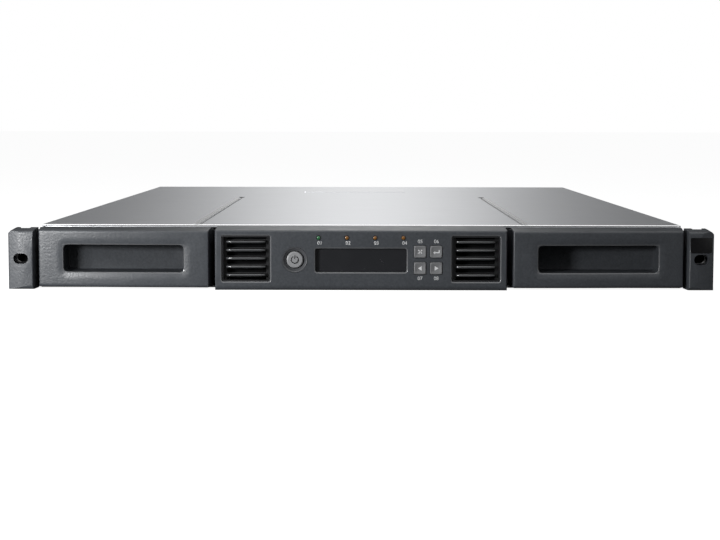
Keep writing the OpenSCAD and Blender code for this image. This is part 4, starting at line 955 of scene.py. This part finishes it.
def fasteners():
    """Crossed heads on the screws that show at the sides, and the thumbscrews' knurls and crosses."""
    for node, slot, diameter in (("cover_screws", "screw_steel", 5.8), ("ear_screws", "screw_black", 5.6)):
        heads = screw_grower(node + "_heads", slot, diameter, 0.5)
        for side, name in SIDES:
            boxes = [box for box in islands(node) if (box[0].x + box[1].x) * side > 0]
            points = [((box[1].x if side > 0 else box[0].x) + side * 0.2, (box[0].y + box[1].y) / 2,
                       (box[0].z + box[1].z) / 2) for box in boxes]
            heads.grow(f"{name}_{node}_heads", points, node, (0, side * math.pi / 2, 0))
    node, count, set_back = "sled_thumbscrews", 16, 3.5
    knurls = block_grower("thumbscrew_knurls", "screw_steel", 0.45, 5.2, 0.45)
    crosses = screw_grower("thumbscrew_face", "screw_steel", 6.4, 0.6)
    for index, (lo, hi) in enumerate(islands(node)):
        middle, radius = (lo + hi) / 2, (hi.x - lo.x) / 2
        for k in range(2):
            points = [(middle.x + radius * math.cos(a), hi.y - set_back, middle.z + radius * math.sin(a))
                      for a in (2 * math.pi * (j + k / 2) / count for j in range(count))]
            knurls.grow(f"thumbscrew_{index + 1}_knurls_{k + 1}", points, node, (0, math.pi / 4 * k, 0))
        crosses.grow(f"thumbscrew_{index + 1}_face", [(middle.x, hi.y + 0.2, middle.z)], node,
                     (-math.pi / 2, 0, 0))


def rear_details():
    """Inlet blades, port contacts and small screws in the rear plate."""
    lo, hi = (Vector(corner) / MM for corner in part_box("power_inlet"))
    middle = (lo + hi) / 2
    blades = block_grower("inlet_blades", "port_steel", 2.0, 9.0, 4.0)
    places = [(middle.x + x, hi.y - 8, middle.z + z) for x, z in ((-7, -1.5), (0, 2.5), (7, -1.5))]
    blades.grow("inlet_blades", places, "power_inlet")
    lo, hi = islands("port_block")[0]
    pitch, mid = 1.1, (lo.x + hi.x) / 2
    contacts = block_grower("port_contacts", "gear_brass", 0.5, 6.0, 0.35)
    places = [(mid + (k - 3.5) * pitch, hi.y - 6, hi.z - 3.2) for k in range(8)]
    contacts.grow("port_contacts", places, "port_block")
    lo, hi = (Vector(corner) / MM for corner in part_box("rear_panel"))
    face, fan_off = hi.y + 0.25, 15
    spots = [(x, face, z) for x in (lo.x + 7, hi.x - 7) for z in (7.5, 36.5)]
    for _, name in SIDES:
        at = centre(name + "_fan_frame") / MM
        spots += [(at.x + x, face, at.z + z) for x in (-fan_off, fan_off) for z in (-fan_off, fan_off)]
    rear = screw_grower("rear_screws", "screw_steel", 4.6, 0.6)
    rear.grow("rear_screws", spots, "rear_panel", (-math.pi / 2, 0, 0))


def cartridge_details():
    """Grip ribs, a bare label and two seams on every cartridge."""
    for side, name in SIDES:
        node = name + "_cartridges"
        ribs = block_grower(name + "_grip_ribs", "cartridge_mould", 1.0, 44.0, 0.5)
        labels = block_grower(name + "_labels", "label_paper", 17.0, 74.0, 0.16)
        seams = block_grower(name + "_shell_lips", "cartridge_mould", 96.0, 0.5, 0.3)
        rib_at, label_at, seam_at = [], [], []
        for lo, hi in islands(node):
            middle = (lo + hi) / 2
            rib_at += [(middle.x + side * (30 + 2.4 * k), middle.y, hi.z + 0.1) for k in range(7)]
            label_at.append((middle.x - side * 38, middle.y, hi.z + 0.04))
            seam_at += [(middle.x, middle.y + y, hi.z + 0.02) for y in (-47, 47)]
        ribs.grow(name + "_grip_ribs", rib_at, node)
        labels.grow(name + "_cartridge_labels", label_at, node)
        seams.grow(name + "_shell_lips", seam_at, node)


make_camera()
make_lights()
make_world()
make_floor()
make_flags()
dress_frame()
for name in ("front_panel", "left_ear_cap", "right_ear_cap"):
    softened(name)
softened("display_window", 0.25)
softened("top_cover", 0.45)
cover_hem()
cover_beads()
dress(NODES["lock_patch"], "patch_steel")
vents()
slot_shade_sheets()
opening_rims()
magazine_mouldings()
keys()
power_button()
lamps()
fasteners()
rear_details()
cartridge_details()
